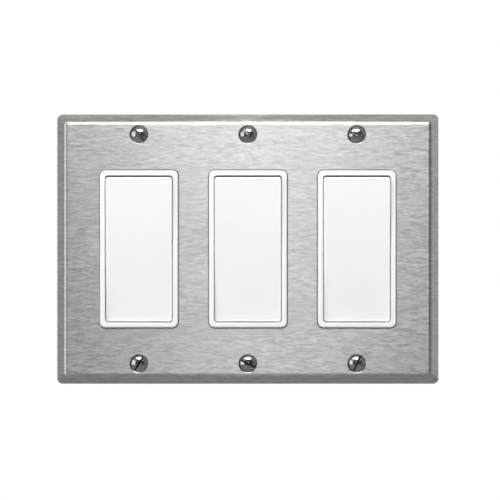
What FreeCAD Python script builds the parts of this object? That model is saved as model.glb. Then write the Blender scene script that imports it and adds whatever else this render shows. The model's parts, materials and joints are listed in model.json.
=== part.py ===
"""Three-gang decorator rocker switch: a brushed steel wall plate over three single-pole rocker switches.

Frame: +X to the viewer's right, +Y into the wall, +Z up. The origin is the centre of the wall plate in
the plane of its rim, which lies on the wall. Everything with negative Y stands in front of the wall.
Each rocker is at rest in the OFF position: its lower end is pressed in and its upper end stands proud.
All lengths are in millimetres and all angles in degrees.
"""

import FreeCAD, Part
import math
import os
from FreeCAD import Vector

os.makedirs("parts", exist_ok=True)

# ---------------------------------------------------------------- driving dimensions
GANG_PITCH = 46.04                    # 1 13/16 in between neighbouring switches
GANGS = {"left": -GANG_PITCH, "middle": 0.0, "right": GANG_PITCH}

PLATE_WIDTH = 161.9                   # 6 3/8 in
PLATE_HEIGHT = 114.3                  # 4 1/2 in
PLATE_DEPTH = 5.6                     # wall to front face
PLATE_SHEET = 0.9                     # stainless sheet
PLATE_LIP = 0.9                       # upright part of the rim
PLATE_BEVEL_RUN = 3.6                 # how far the bevel comes in from the rim
PLATE_RIM_RADIUS = 2.4                # corners at the rim
PLATE_FACE_RADIUS = 1.5               # corners where the bevel meets the face
PLATE_BEND_RADIUS = 2.2               # outside radius between bevel and face
OPENING_WIDTH = 33.3
OPENING_HEIGHT = 66.8
OPENING_RADIUS = 2.5

PLATE_SCREW_SPACING = 96.84           # 3 13/16 in, plate screws
BOX_SCREW_SPACING = 83.34             # 3 9/32 in, screws into the wall box

SINK_RADIUS = 3.75                    # dimpled countersink at the face
DIMPLE_WALL = 0.9                     # metal round the countersink, behind the face
SINK_HALF_ANGLE = 41.0
PLATE_HOLE_RADIUS = 2.1
HEAD_RADIUS = 3.5                     # oval head
HEAD_SET_DOWN = 0.265                 # head's edge below the face
HEAD_DOME = 1.35
PLATE_SCREW_RADIUS = 1.7
PLATE_SCREW_TIP_Y = 6.5
PLATE_SLOT_WIDTH = 0.95
PLATE_SLOT_DEPTH = 1.2
SCREW_POINT = 0.7                     # chamfer at the tip of a long screw
# slot angle of each plate screw, anticlockwise from +X as seen from the front
SLOT_ANGLES = {
    ("left", 1): 130.0,
    ("middle", 1): 124.0,
    ("right", 1): 165.0,
    ("left", -1): 57.0,
    ("middle", -1): 152.0,
    ("right", -1): 65.0,
}

STRAP_BACK_Y = -0.2
STRAP_THICKNESS = 1.3
STRAP_FRONT_Y = STRAP_BACK_Y - STRAP_THICKNESS
STRAP_HALF_WIDTH = 17.5
STRAP_BODY_HALF_HEIGHT = 37.6
STRAP_TAB_HALF_WIDTH = 11.0
STRAP_HALF_HEIGHT = 52.4
STRAP_WINDOW_HALF = (13.2, 30.8)
STRAP_CORNERS = {"body": 1.5, "tab": 2.5, "window": 2.0}
EAR_CENTRE = (14.5, 45.2)
EAR_RADIUS = 5.9
EAR_HOLE_RADIUS = 2.1
EAR_NECK_HALF_HEIGHT = 2.4
EAR_SCORE_HALF_WIDTH = 0.25           # line where the ear snaps off
EAR_SCORE_DEPTH = 0.5
BOX_SLOT_RADIUS = 1.95
BOX_SLOT_LENGTH = 6.8
TAPPED_RADIUS = 1.75

FRAME_HALF = (16.5, 33.2)             # outer edge of the frame's face
FRAME_RADIUS = 2.3
FRAME_FACE_Y = -6.6
FRAME_WINDOW_HALF = (14.35, 30.95)
FRAME_WINDOW_RADIUS = 1.4
FRAME_FLANGE_HALF = (17.1, 37.2)
FRAME_FLANGE_THICKNESS = 1.3
FRAME_EDGES = {"outer": 0.7, "window": 0.3}
FLANGE_RADIUS = 1.5                   # corners of the frame's and the housing's flanges

PIVOT_Y = -3.5
PIVOT_PIN_RADIUS = 1.2
PIVOT_BORE_RADIUS = 1.25
PIVOT_PIN_END = 15.55
PIVOT_BORE_END = 15.65
ROCKER_HALF = (14.05, 30.62)
ROCKER_RADIUS = 1.2
ROCKER_FACE = 3.4                     # face in front of the pivot
ROCKER_SKIN = 1.7
ROCKER_SKIRT = 2.6                    # skirt's height, face included
ROCKER_WALL = 1.3
ROCKER_EDGE = 0.45                    # rounding round the paddle's face
ROCKER_HOLLOW_RADIUS = 0.6
ROCKER_RIB_HALF = 0.5
ROCKER_RIB_Z = (-20.0, -10.0, 10.0, 20.0)
ROCKER_EAR_RADIUS = 1.75              # thicker wall round each pivot pin
ROCKER_HALF_TURN = 4.25               # either side of level
BOSS_RADIUS = 3.5
BOSS_BORE_RADIUS = 2.4
BOSS_END = 9.0                        # behind the pivot
BORE_FLOOR = -1.2
GUSSET_FOOT = (2.0, 9.0)              # from the pivot, along the paddle
GUSSET_HEAD = (2.0, 2.9)
GUSSET_SHORT = 2.5                    # how far it stops short of the boss's end

LEVER_Y = 13.1                        # axis on which the contact lever rocks
LEVER_HALF_TURN = 5.5
LEVER_HALF_LENGTH = 14.0
LEVER_HALF_WIDTH = 3.4
LEVER_FRONT = -1.1                    # strip's faces, measured from the axis
LEVER_BACK = -0.2
LEVER_RIB_RADIUS = 1.0
LEVER_DISH_RADIUS = 4.0
LEVER_DISH_DEPTH = 0.3
LEVER_CORNER = 1.2
CONTACT_FROM_AXIS = 12.0
CONTACT_Z = -11.9                     # fixed contact, under the moving one when it closes
CONTACT_SHANK = 0.98
CONTACT_HOLE = 1.0

PLUNGER_TIP = 15.76                   # behind the pivot
PLUNGER_TIP_RADIUS = 1.2
PLUNGER_GUIDE_RADIUS = 2.3
PLUNGER_START = 5.6
PLUNGER_GUIDE_END = BOSS_END + 1.6
PLUNGER_NECK_END = BOSS_END + 3.6
PLUNGER_WELL = (1.1, 2.0)             # radius and depth of the hollow that faces the spring
SPRING_WIRE = 0.22                    # wire's radius
SPRING_MEAN_RADIUS = 1.75
SPRING_TURNS = 6
SPRING_PLAY = 0.02                    # at each end

HOUSING_FRONT_Y = STRAP_BACK_Y
HOUSING_BACK_Y = 24.4
HOUSING_FLANGE_HALF = (16.8, 37.2)
HOUSING_FLANGE_THICKNESS = 3.0
HOUSING_HALF = (16.2, 31.6)
HOUSING_CAVITY_HALF = (10.8, 28.6)
HOUSING_FLOOR = 2.2
HOUSING_CORNERS = {"cup": 2.2, "back": 1.0, "cavity": 1.5}
POCKET_X = 12.6                       # floor of the side pockets
POCKET_Z = (5.0, 21.0)
POCKET_Y = (2.6, 18.6)
BLANK_POCKET_X = 14.2                 # floor of the pockets on the side with no wire screw
BLANK_POCKET_START = 5.0
SCREW_TIP_ROOM = 2.4                  # bore behind each wire screw
ARM_WINDOW_Y = (15.6, 17.1)           # where a terminal's arm passes the wall
ARM_WINDOW_Z = (6.4, 15.2)
BOX_SCREW_ROOM = 5.6                  # scallop in the flange beside each box screw
STOP_RIB_Z = (12.2, 13.8)             # rib that stops the lever's upper arm
STOP_RIB_HALF_WIDTH = 2.0
PUSH_IN_RADIUS = 1.15
PUSH_IN_X = 6.9
PUSH_IN_Z = 20.4
PUSH_IN_LENGTH = 5.0
PUSH_IN_TUBE = 2.3                    # outside of the tube that guides the wire
RELEASE_X = (0.5, 3.5)                # slot beside each push-in hole
RELEASE_HALF_HEIGHT = 0.7
STRIP_GAUGE_X = (-11.5, -8.9)         # channel that shows how much wire to strip
STRIP_GAUGE_HALF_HEIGHT = 6.4
STRIP_GAUGE_DEPTH = 0.8

TERMINAL_SHEET = 1.2
TERMINAL_X = POCKET_X + 0.1           # inner face of each side plate
TERMINAL_Z = (6.6, 19.4)
TERMINAL_FRONT_Y = 4.4
ARM_Y = (15.75, 15.75 + TERMINAL_SHEET)
LOAD_ARM_HEIGHT = 4.0
LINE_ARM_Z = (-15.0, -9.0)
CRADLE_Y = LEVER_Y + 0.35
CRADLE_HALF_HEIGHT = 1.9
FOOT_Z = -2.2
TERMINAL_SCREW_Y = 10.2
TERMINAL_SCREW_Z = 13.0
BINDING_SHANK_RADIUS = 2.0
BINDING_HEAD_RADIUS = 3.9
BINDING_HEAD_HEIGHT = 1.9
BINDING_GAP = 0.7                     # backed off to take a wire
BINDING_POINT = 0.5
BINDING_SLOT = (0.55, 1.1)            # half width and depth
BINDING_TIP_X = POCKET_X - 1.2
BINDING_ANGLES = {1: 20.0, -1: -35.0}  # slots of the upper and lower screw
GROUND_SCREW_AT = (6.2, -30.6)        # its Y and Z
GROUND_HEAD_RADIUS = 3.6
GROUND_SEAT = 0.3                     # gap between its head and the tab
GROUND_ANGLE = 40.0
GROUND_TAB_HALF = 4.6

CLAMP_SHEET = 0.4
CLAMP_HALF_WIDTH = 2.0
CLAMP_Y = (6.0, 17.0)
CLAMP_BASE_Z = 3.0                    # from the push-in hole's axis, outwards
CLAMP_LEAF_Z = 2.0                    # and inwards, where the leaf starts
CLAMP_LEAF_END_Y = 14.5
CLAMP_LEAF_SHIFT = 1.6
CLAMP_LEAF_ANGLE = 12.0

RIVET_AT = (11.6, 35.1)
RIVET_RADIUS = 1.2
RIVET_HOLE_RADIUS = 1.25
RIVET_HEAD_RADIUS = 1.6
RIVET_HEAD_HEIGHT = 0.6

BOX_SCREW_SHANK = 1.5
BOX_SCREW_THREAD = 1.74
BOX_SCREW_THREAD_START = 1.6
BOX_SCREW_TIP_Y = 23.0
BOX_HEAD_RADIUS = 3.4
BOX_HEAD_HEIGHT = 2.0
BOX_HEAD_RIM = 0.9                    # upright part of the head
BOX_SLOT = (0.5, 1.1)                 # half width and depth
BOX_SLOT_ANGLES = {1: 28.0, -1: -16.0}
WASHER_HALF = 4.0
WASHER_THICKNESS = 0.7
WASHER_RADIUS = 0.8
WASHER_PLAY = 0.03


# ---------------------------------------------------------------- small helpers
def save(name, *solids):
    """Writes one STEP file that holds these solids."""
    shape = solids[0] if len(solids) == 1 else Part.makeCompound(list(solids))
    for solid in shape.Solids:
        if not solid.isValid() or solid.Volume <= 0:
            print("PROBLEM: a solid of", name, "is not valid")
    if not shape.Solids:
        print("PROBLEM:", name, "has no solid")
    shape.exportStep(f"parts/{name}.step")


def block(x0, x1, y0, y1, z0, z1):
    """An upright box between these limits."""
    return Part.makeBox(x1 - x0, y1 - y0, z1 - z0, Vector(x0, y0, z0))


def rounded_wire(half_width, half_height, radius, y):
    """A rectangle with round corners in the plane at this Y."""
    a, c, r = half_width, half_height, radius
    d = r * (1 - math.sqrt(0.5))
    corners = [(1, 1), (-1, 1), (-1, -1), (1, -1)]
    edges = []
    for k, (sx, sz) in enumerate(corners):
        along_z = Vector(sx * a, y, sz * (c - r))
        along_x = Vector(sx * (a - r), y, sz * c)
        middle = Vector(sx * (a - d), y, sz * (c - d))
        first, last = (along_z, along_x) if k % 2 == 0 else (along_x, along_z)
        edges.append(Part.Arc(first, middle, last).toShape())
        nx, nz = corners[(k + 1) % 4]
        if k % 2 == 0:
            following = Vector(nx * (a - r), y, nz * c)
        else:
            following = Vector(nx * a, y, nz * (c - r))
        edges.append(Part.LineSegment(last, following).toShape())
    return Part.Wire(edges)


def rounded_prism(half, radius, y0, y1):
    """A prism along Y whose section is a rectangle with round corners."""
    face = Part.Face(rounded_wire(half[0], half[1], radius, y0))
    return face.extrude(Vector(0, y1 - y0, 0))


def rod_y(radius, x, z, y0, y1):
    return Part.makeCylinder(radius, y1 - y0, Vector(x, y0, z), Vector(0, 1, 0))


def rod_x(radius, y, z, x0, x1):
    return Part.makeCylinder(radius, x1 - x0, Vector(x0, y, z), Vector(1, 0, 0))


def cone_y(radius, end_radius, x, z, y, height):
    return Part.makeCone(radius, end_radius, height, Vector(x, y, z), Vector(0, 1, 0))


def turned(outline):
    """A solid turned about the Y axis. The outline is (radius, y) points from axis to axis."""
    points = [Vector(r, y, 0) for r, y in outline]
    wire = Part.makePolygon(points + [points[0]])
    return Part.Face(wire).revolve(Vector(0, 0, 0), Vector(0, 1, 0), 360)


def dome(radius, height, y, steps=8):
    """Outline points of a round cap from its edge at y to its crown at y - height."""
    sphere = (radius * radius + height * height) / (2 * height)
    centre = y - height + sphere
    start = math.asin(radius / sphere)
    angles = [start * (1 - k / steps) for k in range(steps + 1)]
    return [(sphere * math.sin(a), centre - sphere * math.cos(a)) for a in angles]


def moved(shape, x=0.0, y=0.0, z=0.0):
    copy = shape.copy()
    copy.translate(Vector(x, y, z))
    return copy


def turned_by(shape, angle, axis=Vector(1, 0, 0), at=Vector(0, 0, 0)):
    copy = shape.copy()
    copy.rotate(at, axis, angle)
    return copy


def fused(first, *others):
    return first.fuse(list(others)).removeSplitter()


def edges_at_y(shape, y, tolerance=1e-4):
    """Edges that lie wholly in the plane at this Y."""
    return [e for e in shape.Edges if all(abs(v.Point.y - y) < tolerance for v in e.Vertexes)]


# ---------------------------------------------------------------- wall plate
def plate_skin(inset):
    """The plate's solid outer form, or with an inset, the hollow that leaves a sheet of that thickness."""
    rise = PLATE_DEPTH - PLATE_LIP
    slope = math.hypot(PLATE_BEVEL_RUN, rise)
    # the bevel line moved inwards by the sheet's thickness
    d0 = inset * rise / slope
    y0 = -PLATE_LIP + inset * PLATE_BEVEL_RUN / slope
    knee_y = y0 - (inset - d0) * rise / PLATE_BEVEL_RUN
    face_y = -(PLATE_DEPTH - inset)
    face_inset = d0 + (y0 - face_y) * PLATE_BEVEL_RUN / rise
    half_width, half_height = PLATE_WIDTH / 2, PLATE_HEIGHT / 2
    rim_radius = max(PLATE_RIM_RADIUS - inset, 0.8)
    rim = (half_width - inset, half_height - inset)
    lip_end = 1.0 if inset else 0.0
    lip = rounded_prism(rim, rim_radius, knee_y, lip_end)
    knee = rounded_wire(*rim, rim_radius, knee_y)
    face = rounded_wire(half_width - face_inset, half_height - face_inset, PLATE_FACE_RADIUS, face_y)
    bevel = Part.makeLoft([face, knee], True, True)
    body = fused(lip, bevel)
    return body.makeFillet(PLATE_BEND_RADIUS - inset, edges_at_y(body, face_y))


def make_wall_plate():
    """Stamped stainless plate: bevelled rim, three openings and six dimpled screw holes."""
    plate = plate_skin(0.0).cut(plate_skin(PLATE_SHEET))
    tangent = math.tan(math.radians(SINK_HALF_ANGLE))
    sink_depth = (SINK_RADIUS - PLATE_HOLE_RADIUS) / tangent
    bump_depth = sink_depth + 0.5 - 0.5 * PLATE_SHEET
    for centre in GANGS.values():
        opening = rounded_prism(
            (OPENING_WIDTH / 2, OPENING_HEIGHT / 2), OPENING_RADIUS, -PLATE_DEPTH - 1, 1
        )
        plate = plate.cut(moved(opening, centre))
        for side in (1, -1):
            z = side * PLATE_SCREW_SPACING / 2
            inner_y = -PLATE_DEPTH + 0.5 * PLATE_SHEET
            bump = cone_y(SINK_RADIUS + 1.0, PLATE_HOLE_RADIUS + DIMPLE_WALL, centre, z, inner_y, bump_depth)
            sink = cone_y(SINK_RADIUS, PLATE_HOLE_RADIUS, centre, z, -PLATE_DEPTH, sink_depth)
            hole = rod_y(PLATE_HOLE_RADIUS, centre, z, -PLATE_DEPTH, 0)
            plate = plate.fuse(bump).cut(sink).cut(hole)
    save("wall_plate", plate.removeSplitter())


def make_plate_screws():
    """Six slotted oval-head screws, each with its slot where it was left."""
    tangent = math.tan(math.radians(SINK_HALF_ANGLE))
    edge_y = -PLATE_DEPTH + HEAD_SET_DOWN
    under_y = edge_y + (HEAD_RADIUS - PLATE_SCREW_RADIUS) / tangent
    outline = dome(HEAD_RADIUS, HEAD_DOME, edge_y)[::-1]
    outline += [
        (PLATE_SCREW_RADIUS, under_y),
        (PLATE_SCREW_RADIUS, PLATE_SCREW_TIP_Y - SCREW_POINT),
        (PLATE_SCREW_RADIUS - SCREW_POINT, PLATE_SCREW_TIP_Y),
        (0, PLATE_SCREW_TIP_Y),
    ]
    blank = turned(outline)
    crown_y = edge_y - HEAD_DOME
    half = PLATE_SLOT_WIDTH / 2
    slot = block(-5, 5, crown_y - 1, crown_y + PLATE_SLOT_DEPTH, -half, half)
    screws = []
    for (gang, side), angle in SLOT_ANGLES.items():
        # seen from the front, anticlockwise is a negative turn about +Y
        cut = blank.cut(turned_by(slot, -angle, Vector(0, 1, 0)))
        screws.append(moved(cut, GANGS[gang], 0, side * PLATE_SCREW_SPACING / 2))
    save("plate_screws", *screws)


# ---------------------------------------------------------------- mounting strap and what holds it
def make_strap(name, x):
    """Zinc-plated steel strap with break-off plaster ears, a window for the rocker and a ground tab."""
    y0, y1 = STRAP_FRONT_Y, STRAP_BACK_Y
    strap = rounded_prism((STRAP_HALF_WIDTH, STRAP_BODY_HALF_HEIGHT), STRAP_CORNERS["body"], y0, y1)
    pieces = [rounded_prism((STRAP_TAB_HALF_WIDTH, STRAP_HALF_HEIGHT), STRAP_CORNERS["tab"], y0, y1)]
    for side in (1, -1):
        for hand in (1, -1):
            ex, ez = hand * EAR_CENTRE[0], side * EAR_CENTRE[1]
            pieces.append(rod_y(EAR_RADIUS, ex, ez, y0, y1))
            neck = sorted((hand * (STRAP_TAB_HALF_WIDTH - 1), ex))
            pieces.append(block(*neck, y0, y1, ez - EAR_NECK_HALF_HEIGHT, ez + EAR_NECK_HALF_HEIGHT))
    # ground tab: bent back along the housing's lower left side
    ground_y, ground_z = GROUND_SCREW_AT
    tab_x = -STRAP_HALF_WIDTH
    tab_z = (ground_z - GROUND_TAB_HALF, ground_z + GROUND_TAB_HALF)
    pieces.append(block(tab_x, tab_x + STRAP_THICKNESS, y0, ground_y + GROUND_TAB_HALF, *tab_z))
    strap = fused(strap, *pieces)
    strap = strap.cut(rounded_prism(STRAP_WINDOW_HALF, STRAP_CORNERS["window"], y0 - 1, y1 + 1))
    cutters = [rod_x(TAPPED_RADIUS, ground_y, ground_z, tab_x - 2, tab_x + 3)]
    for side in (1, -1):
        cutters.append(rod_y(TAPPED_RADIUS, 0, side * PLATE_SCREW_SPACING / 2, y0 - 1, y1 + 1))
        reach = BOX_SLOT_LENGTH / 2 - BOX_SLOT_RADIUS
        z = side * BOX_SCREW_SPACING / 2
        cutters.append(block(-reach, reach, y0 - 1, y1 + 1, z - BOX_SLOT_RADIUS, z + BOX_SLOT_RADIUS))
        for hand in (1, -1):
            cutters.append(rod_y(BOX_SLOT_RADIUS, hand * reach, z, y0 - 1, y1 + 1))
            ex, ez = hand * EAR_CENTRE[0], side * EAR_CENTRE[1]
            cutters.append(rod_y(EAR_HOLE_RADIUS, ex, ez, y0 - 1, y1 + 1))
            sx = hand * (STRAP_TAB_HALF_WIDTH + 0.1)
            score = (sx - EAR_SCORE_HALF_WIDTH, sx + EAR_SCORE_HALF_WIDTH)
            cutters.append(block(*score, y0 - 1, y0 + EAR_SCORE_DEPTH, ez - EAR_RADIUS, ez + EAR_RADIUS))
            rx, rz = hand * RIVET_AT[0], side * RIVET_AT[1]
            cutters.append(rod_y(RIVET_HOLE_RADIUS, rx, rz, y0 - 1, y1 + 1))
    save(f"strap_{name}", moved(strap.cut(cutters), x))


def make_box_screws(name, x):
    """Two long slotted screws that hold the strap to the wall box, and their square retaining washers."""
    head_back = STRAP_FRONT_Y - WASHER_THICKNESS
    head_edge = head_back - BOX_HEAD_RIM
    crown = head_back - BOX_HEAD_HEIGHT
    outline = [(0, BOX_SCREW_TIP_Y), (BOX_SCREW_THREAD - SCREW_POINT, BOX_SCREW_TIP_Y)]
    outline += [
        (BOX_SCREW_THREAD, BOX_SCREW_TIP_Y - SCREW_POINT),
        (BOX_SCREW_THREAD, BOX_SCREW_THREAD_START),
        (BOX_SCREW_SHANK, BOX_SCREW_THREAD_START),
        (BOX_SCREW_SHANK, head_back),
        (BOX_HEAD_RADIUS, head_back),
    ]
    outline += dome(BOX_HEAD_RADIUS, BOX_HEAD_HEIGHT - BOX_HEAD_RIM, head_edge)
    half, depth = BOX_SLOT
    screw = turned(outline).cut(block(-5, 5, crown - 1, crown + depth, -half, half))
    washer = rounded_prism((WASHER_HALF, WASHER_HALF), WASHER_RADIUS, head_back, STRAP_FRONT_Y)
    washer = washer.cut(rod_y(BOX_SCREW_SHANK + WASHER_PLAY, 0, 0, head_back - 1, STRAP_FRONT_Y + 1))
    screws, washers = [], []
    for side, angle in BOX_SLOT_ANGLES.items():
        z = side * BOX_SCREW_SPACING / 2
        screws.append(moved(turned_by(screw, angle, Vector(0, 1, 0)), x, 0, z))
        washers.append(moved(washer, x, 0, z))
    save(f"box_screws_{name}", *screws)
    save(f"screw_washers_{name}", *washers)


def make_rivets(name, x):
    """Four rivets through the frame's flange, the strap and the housing's flange."""
    front = STRAP_FRONT_Y - FRAME_FLANGE_THICKNESS
    back = HOUSING_FRONT_Y + HOUSING_FLANGE_THICKNESS
    outline = [
        (0, back + RIVET_HEAD_HEIGHT),
        (RIVET_HEAD_RADIUS * 0.6, back + RIVET_HEAD_HEIGHT),
        (RIVET_HEAD_RADIUS, back),
        (RIVET_RADIUS, back),
        (RIVET_RADIUS, front),
        (RIVET_HEAD_RADIUS, front),
        (RIVET_HEAD_RADIUS * 0.75, front - RIVET_HEAD_HEIGHT),
        (0, front - RIVET_HEAD_HEIGHT),
    ]
    rivet = turned(outline)
    places = [(hand * RIVET_AT[0], side * RIVET_AT[1]) for side in (1, -1) for hand in (1, -1)]
    save(f"rivets_{name}", *[moved(rivet, x + px, 0, pz) for px, pz in places])


# ---------------------------------------------------------------- moulded front
def make_front_frame(name, x):
    """White frame that fills the plate's opening and carries the rocker's pivot bores."""
    body = rounded_prism(FRAME_HALF, FRAME_RADIUS, FRAME_FACE_Y, STRAP_FRONT_Y)
    body = body.makeFillet(FRAME_EDGES["outer"], edges_at_y(body, FRAME_FACE_Y))
    flange_y = (STRAP_FRONT_Y - FRAME_FLANGE_THICKNESS, STRAP_FRONT_Y)
    flange = rounded_prism(FRAME_FLANGE_HALF, FLANGE_RADIUS, *flange_y)
    frame = fused(body, flange)
    window = rounded_prism(FRAME_WINDOW_HALF, FRAME_WINDOW_RADIUS, FRAME_FACE_Y - 1, STRAP_FRONT_Y + 1)
    frame = frame.cut(window)
    reach_x, reach_z = [half + 0.001 for half in FRAME_WINDOW_HALF]
    window_edges = [
        e for e in edges_at_y(frame, FRAME_FACE_Y)
        if abs(e.CenterOfMass.x) <= reach_x and abs(e.CenterOfMass.z) <= reach_z
    ]
    frame = frame.makeFillet(FRAME_EDGES["window"], window_edges)
    cutters = []
    for hand in (1, -1):
        bore = sorted((hand * (FRAME_WINDOW_HALF[0] - 1), hand * PIVOT_BORE_END))
        cutters.append(rod_x(PIVOT_BORE_RADIUS, PIVOT_Y, 0, *bore))
        for side in (1, -1):
            rx, rz = hand * RIVET_AT[0], side * RIVET_AT[1]
            cutters.append(rod_y(RIVET_HOLE_RADIUS, rx, rz, FRAME_FACE_Y, STRAP_FRONT_Y + 1))
    save(f"front_frame_{name}", moved(frame.cut(cutters), x))


def rocker_to_row(shape, x):
    """From the rocker's own frame, level with its pivot at the origin, to its place in the OFF position."""
    return moved(turned_by(shape, ROCKER_HALF_TURN), x, PIVOT_Y, 0)


def make_rocker(name, x):
    """White paddle with its skirt, ribs, pivot pins and the bored boss that guides the plunger."""
    front, skin_back = -ROCKER_FACE, -ROCKER_FACE + ROCKER_SKIN
    skirt_back = -ROCKER_FACE + ROCKER_SKIRT
    half_x, half_z = ROCKER_HALF
    paddle = rounded_prism(ROCKER_HALF, ROCKER_RADIUS, front, skirt_back)
    paddle = paddle.makeFillet(ROCKER_EDGE, edges_at_y(paddle, front))
    hollow_half = (half_x - ROCKER_WALL, half_z - ROCKER_WALL)
    paddle = paddle.cut(rounded_prism(hollow_half, ROCKER_HOLLOW_RADIUS, skin_back, skirt_back + 1))
    pieces = []
    for hand in (1, -1):
        wall = sorted((hand * (half_x - ROCKER_WALL), hand * half_x))
        pieces.append(rod_x(ROCKER_EAR_RADIUS, 0, 0, *wall))
        pieces.append(block(*wall, skin_back, 0, -ROCKER_EAR_RADIUS, ROCKER_EAR_RADIUS))
        pin = sorted((hand * (half_x - ROCKER_WALL / 2), hand * PIVOT_PIN_END))
        pieces.append(rod_x(PIVOT_PIN_RADIUS, 0, 0, *pin))
    rib = ROCKER_RIB_HALF
    inner_x, inner_z = half_x - ROCKER_WALL / 2, half_z - ROCKER_WALL / 2
    for z in ROCKER_RIB_Z:
        pieces.append(block(-inner_x, inner_x, skin_back - 0.2, skirt_back, z - rib, z + rib))
    pieces.append(block(-rib, rib, skin_back - 0.2, skirt_back, -inner_z, inner_z))
    pieces.append(rod_y(BOSS_RADIUS, 0, 0, skin_back - 0.2, BOSS_END))
    foot_y, head_y = skin_back - 0.1, BOSS_END - GUSSET_SHORT
    for hand in (1, -1):
        # gussets that brace the boss along the paddle
        corners = [(foot_y, z) for z in GUSSET_FOOT] + [(head_y, z) for z in GUSSET_HEAD[::-1]]
        outline = Part.makePolygon([Vector(-rib, y, hand * z) for y, z in corners + corners[:1]])
        pieces.append(Part.Face(outline).extrude(Vector(2 * rib, 0, 0)))
    rocker = fused(paddle, *pieces)
    rocker = rocker.cut(rod_y(BOSS_BORE_RADIUS, 0, 0, BORE_FLOOR, BOSS_END + 1))
    save(f"rocker_{name}", rocker_to_row(rocker, x))


def make_plunger(name, x):
    """Acetal plunger that slides in the boss, and the coil spring behind it."""
    ball = PLUNGER_TIP_RADIUS
    centre = PLUNGER_TIP - ball
    outline = [(0, PLUNGER_START), (PLUNGER_GUIDE_RADIUS, PLUNGER_START)]
    outline += [(PLUNGER_GUIDE_RADIUS, PLUNGER_GUIDE_END), (ball, PLUNGER_NECK_END)]
    for degrees in range(90, 0, -15):
        angle = math.radians(degrees)
        outline.append((ball * math.sin(angle), centre + ball * math.cos(angle)))
    outline.append((0, PLUNGER_TIP))
    well_radius, well_depth = PLUNGER_WELL
    plunger = turned(outline).cut(rod_y(well_radius, 0, 0, PLUNGER_START - 1, PLUNGER_START + well_depth))
    save(f"plunger_{name}", rocker_to_row(plunger, x))

    length = PLUNGER_START - BORE_FLOOR - 2 * (SPRING_WIRE + SPRING_PLAY)
    pitch = length / SPRING_TURNS
    helix = Part.makeHelix(pitch, length, SPRING_MEAN_RADIUS)
    section = Part.Wire(Part.makeCircle(SPRING_WIRE, Vector(SPRING_MEAN_RADIUS, 0, 0), Vector(0, 1, 0)))
    coil = Part.Wire(helix).makePipeShell([section], True, True)
    coil.rotate(Vector(0, 0, 0), Vector(1, 0, 0), -90)
    coil.translate(Vector(0, BORE_FLOOR + SPRING_WIRE + SPRING_PLAY, 0))
    save(f"plunger_spring_{name}", rocker_to_row(coil, x))


# ---------------------------------------------------------------- mechanism inside the housing
def lever_to_row(shape, x):
    """From the lever's own frame, level with its axis at the origin, to its place at rest, contacts open."""
    return moved(turned_by(shape, -LEVER_HALF_TURN), x, LEVER_Y, 0)


def make_contact_lever(name, x):
    """Rocking bronze lever: a strip with a pivot rib, a dish for the plunger and a silver contact."""
    w, length = LEVER_HALF_WIDTH, LEVER_HALF_LENGTH
    strip = block(-w, w, LEVER_FRONT, LEVER_BACK, -length, length)
    upright = [e for e in strip.Edges if abs(e.Vertexes[0].Point.y - e.Vertexes[-1].Point.y) > 0.5]
    strip = strip.makeFillet(LEVER_CORNER, upright)
    lever = fused(strip, rod_x(LEVER_RIB_RADIUS, 0, 0, -w, w))
    dish_centre = LEVER_FRONT + LEVER_DISH_DEPTH - LEVER_DISH_RADIUS
    lever = lever.cut(rod_x(LEVER_DISH_RADIUS, dish_centre, 0, -w - 1, w + 1))
    lever = lever.cut(rod_y(CONTACT_HOLE, 0, -CONTACT_FROM_AXIS, LEVER_FRONT - 1, LEVER_BACK + 1))
    save(f"contact_lever_{name}", lever_to_row(lever, x))

    outline = [
        (0, LEVER_FRONT - 0.35),
        (1.4, LEVER_FRONT - 0.35),
        (1.6, LEVER_FRONT),
        (CONTACT_SHANK, LEVER_FRONT),
        (CONTACT_SHANK, LEVER_BACK),
        (2.0, LEVER_BACK),
        (1.9, LEVER_BACK + 0.55),
        (1.0, LEVER_BACK + 0.78),
        (0, LEVER_BACK + 0.82),
    ]
    save(f"moving_contact_{name}", lever_to_row(moved(turned(outline), z=-CONTACT_FROM_AXIS), x))


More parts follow.
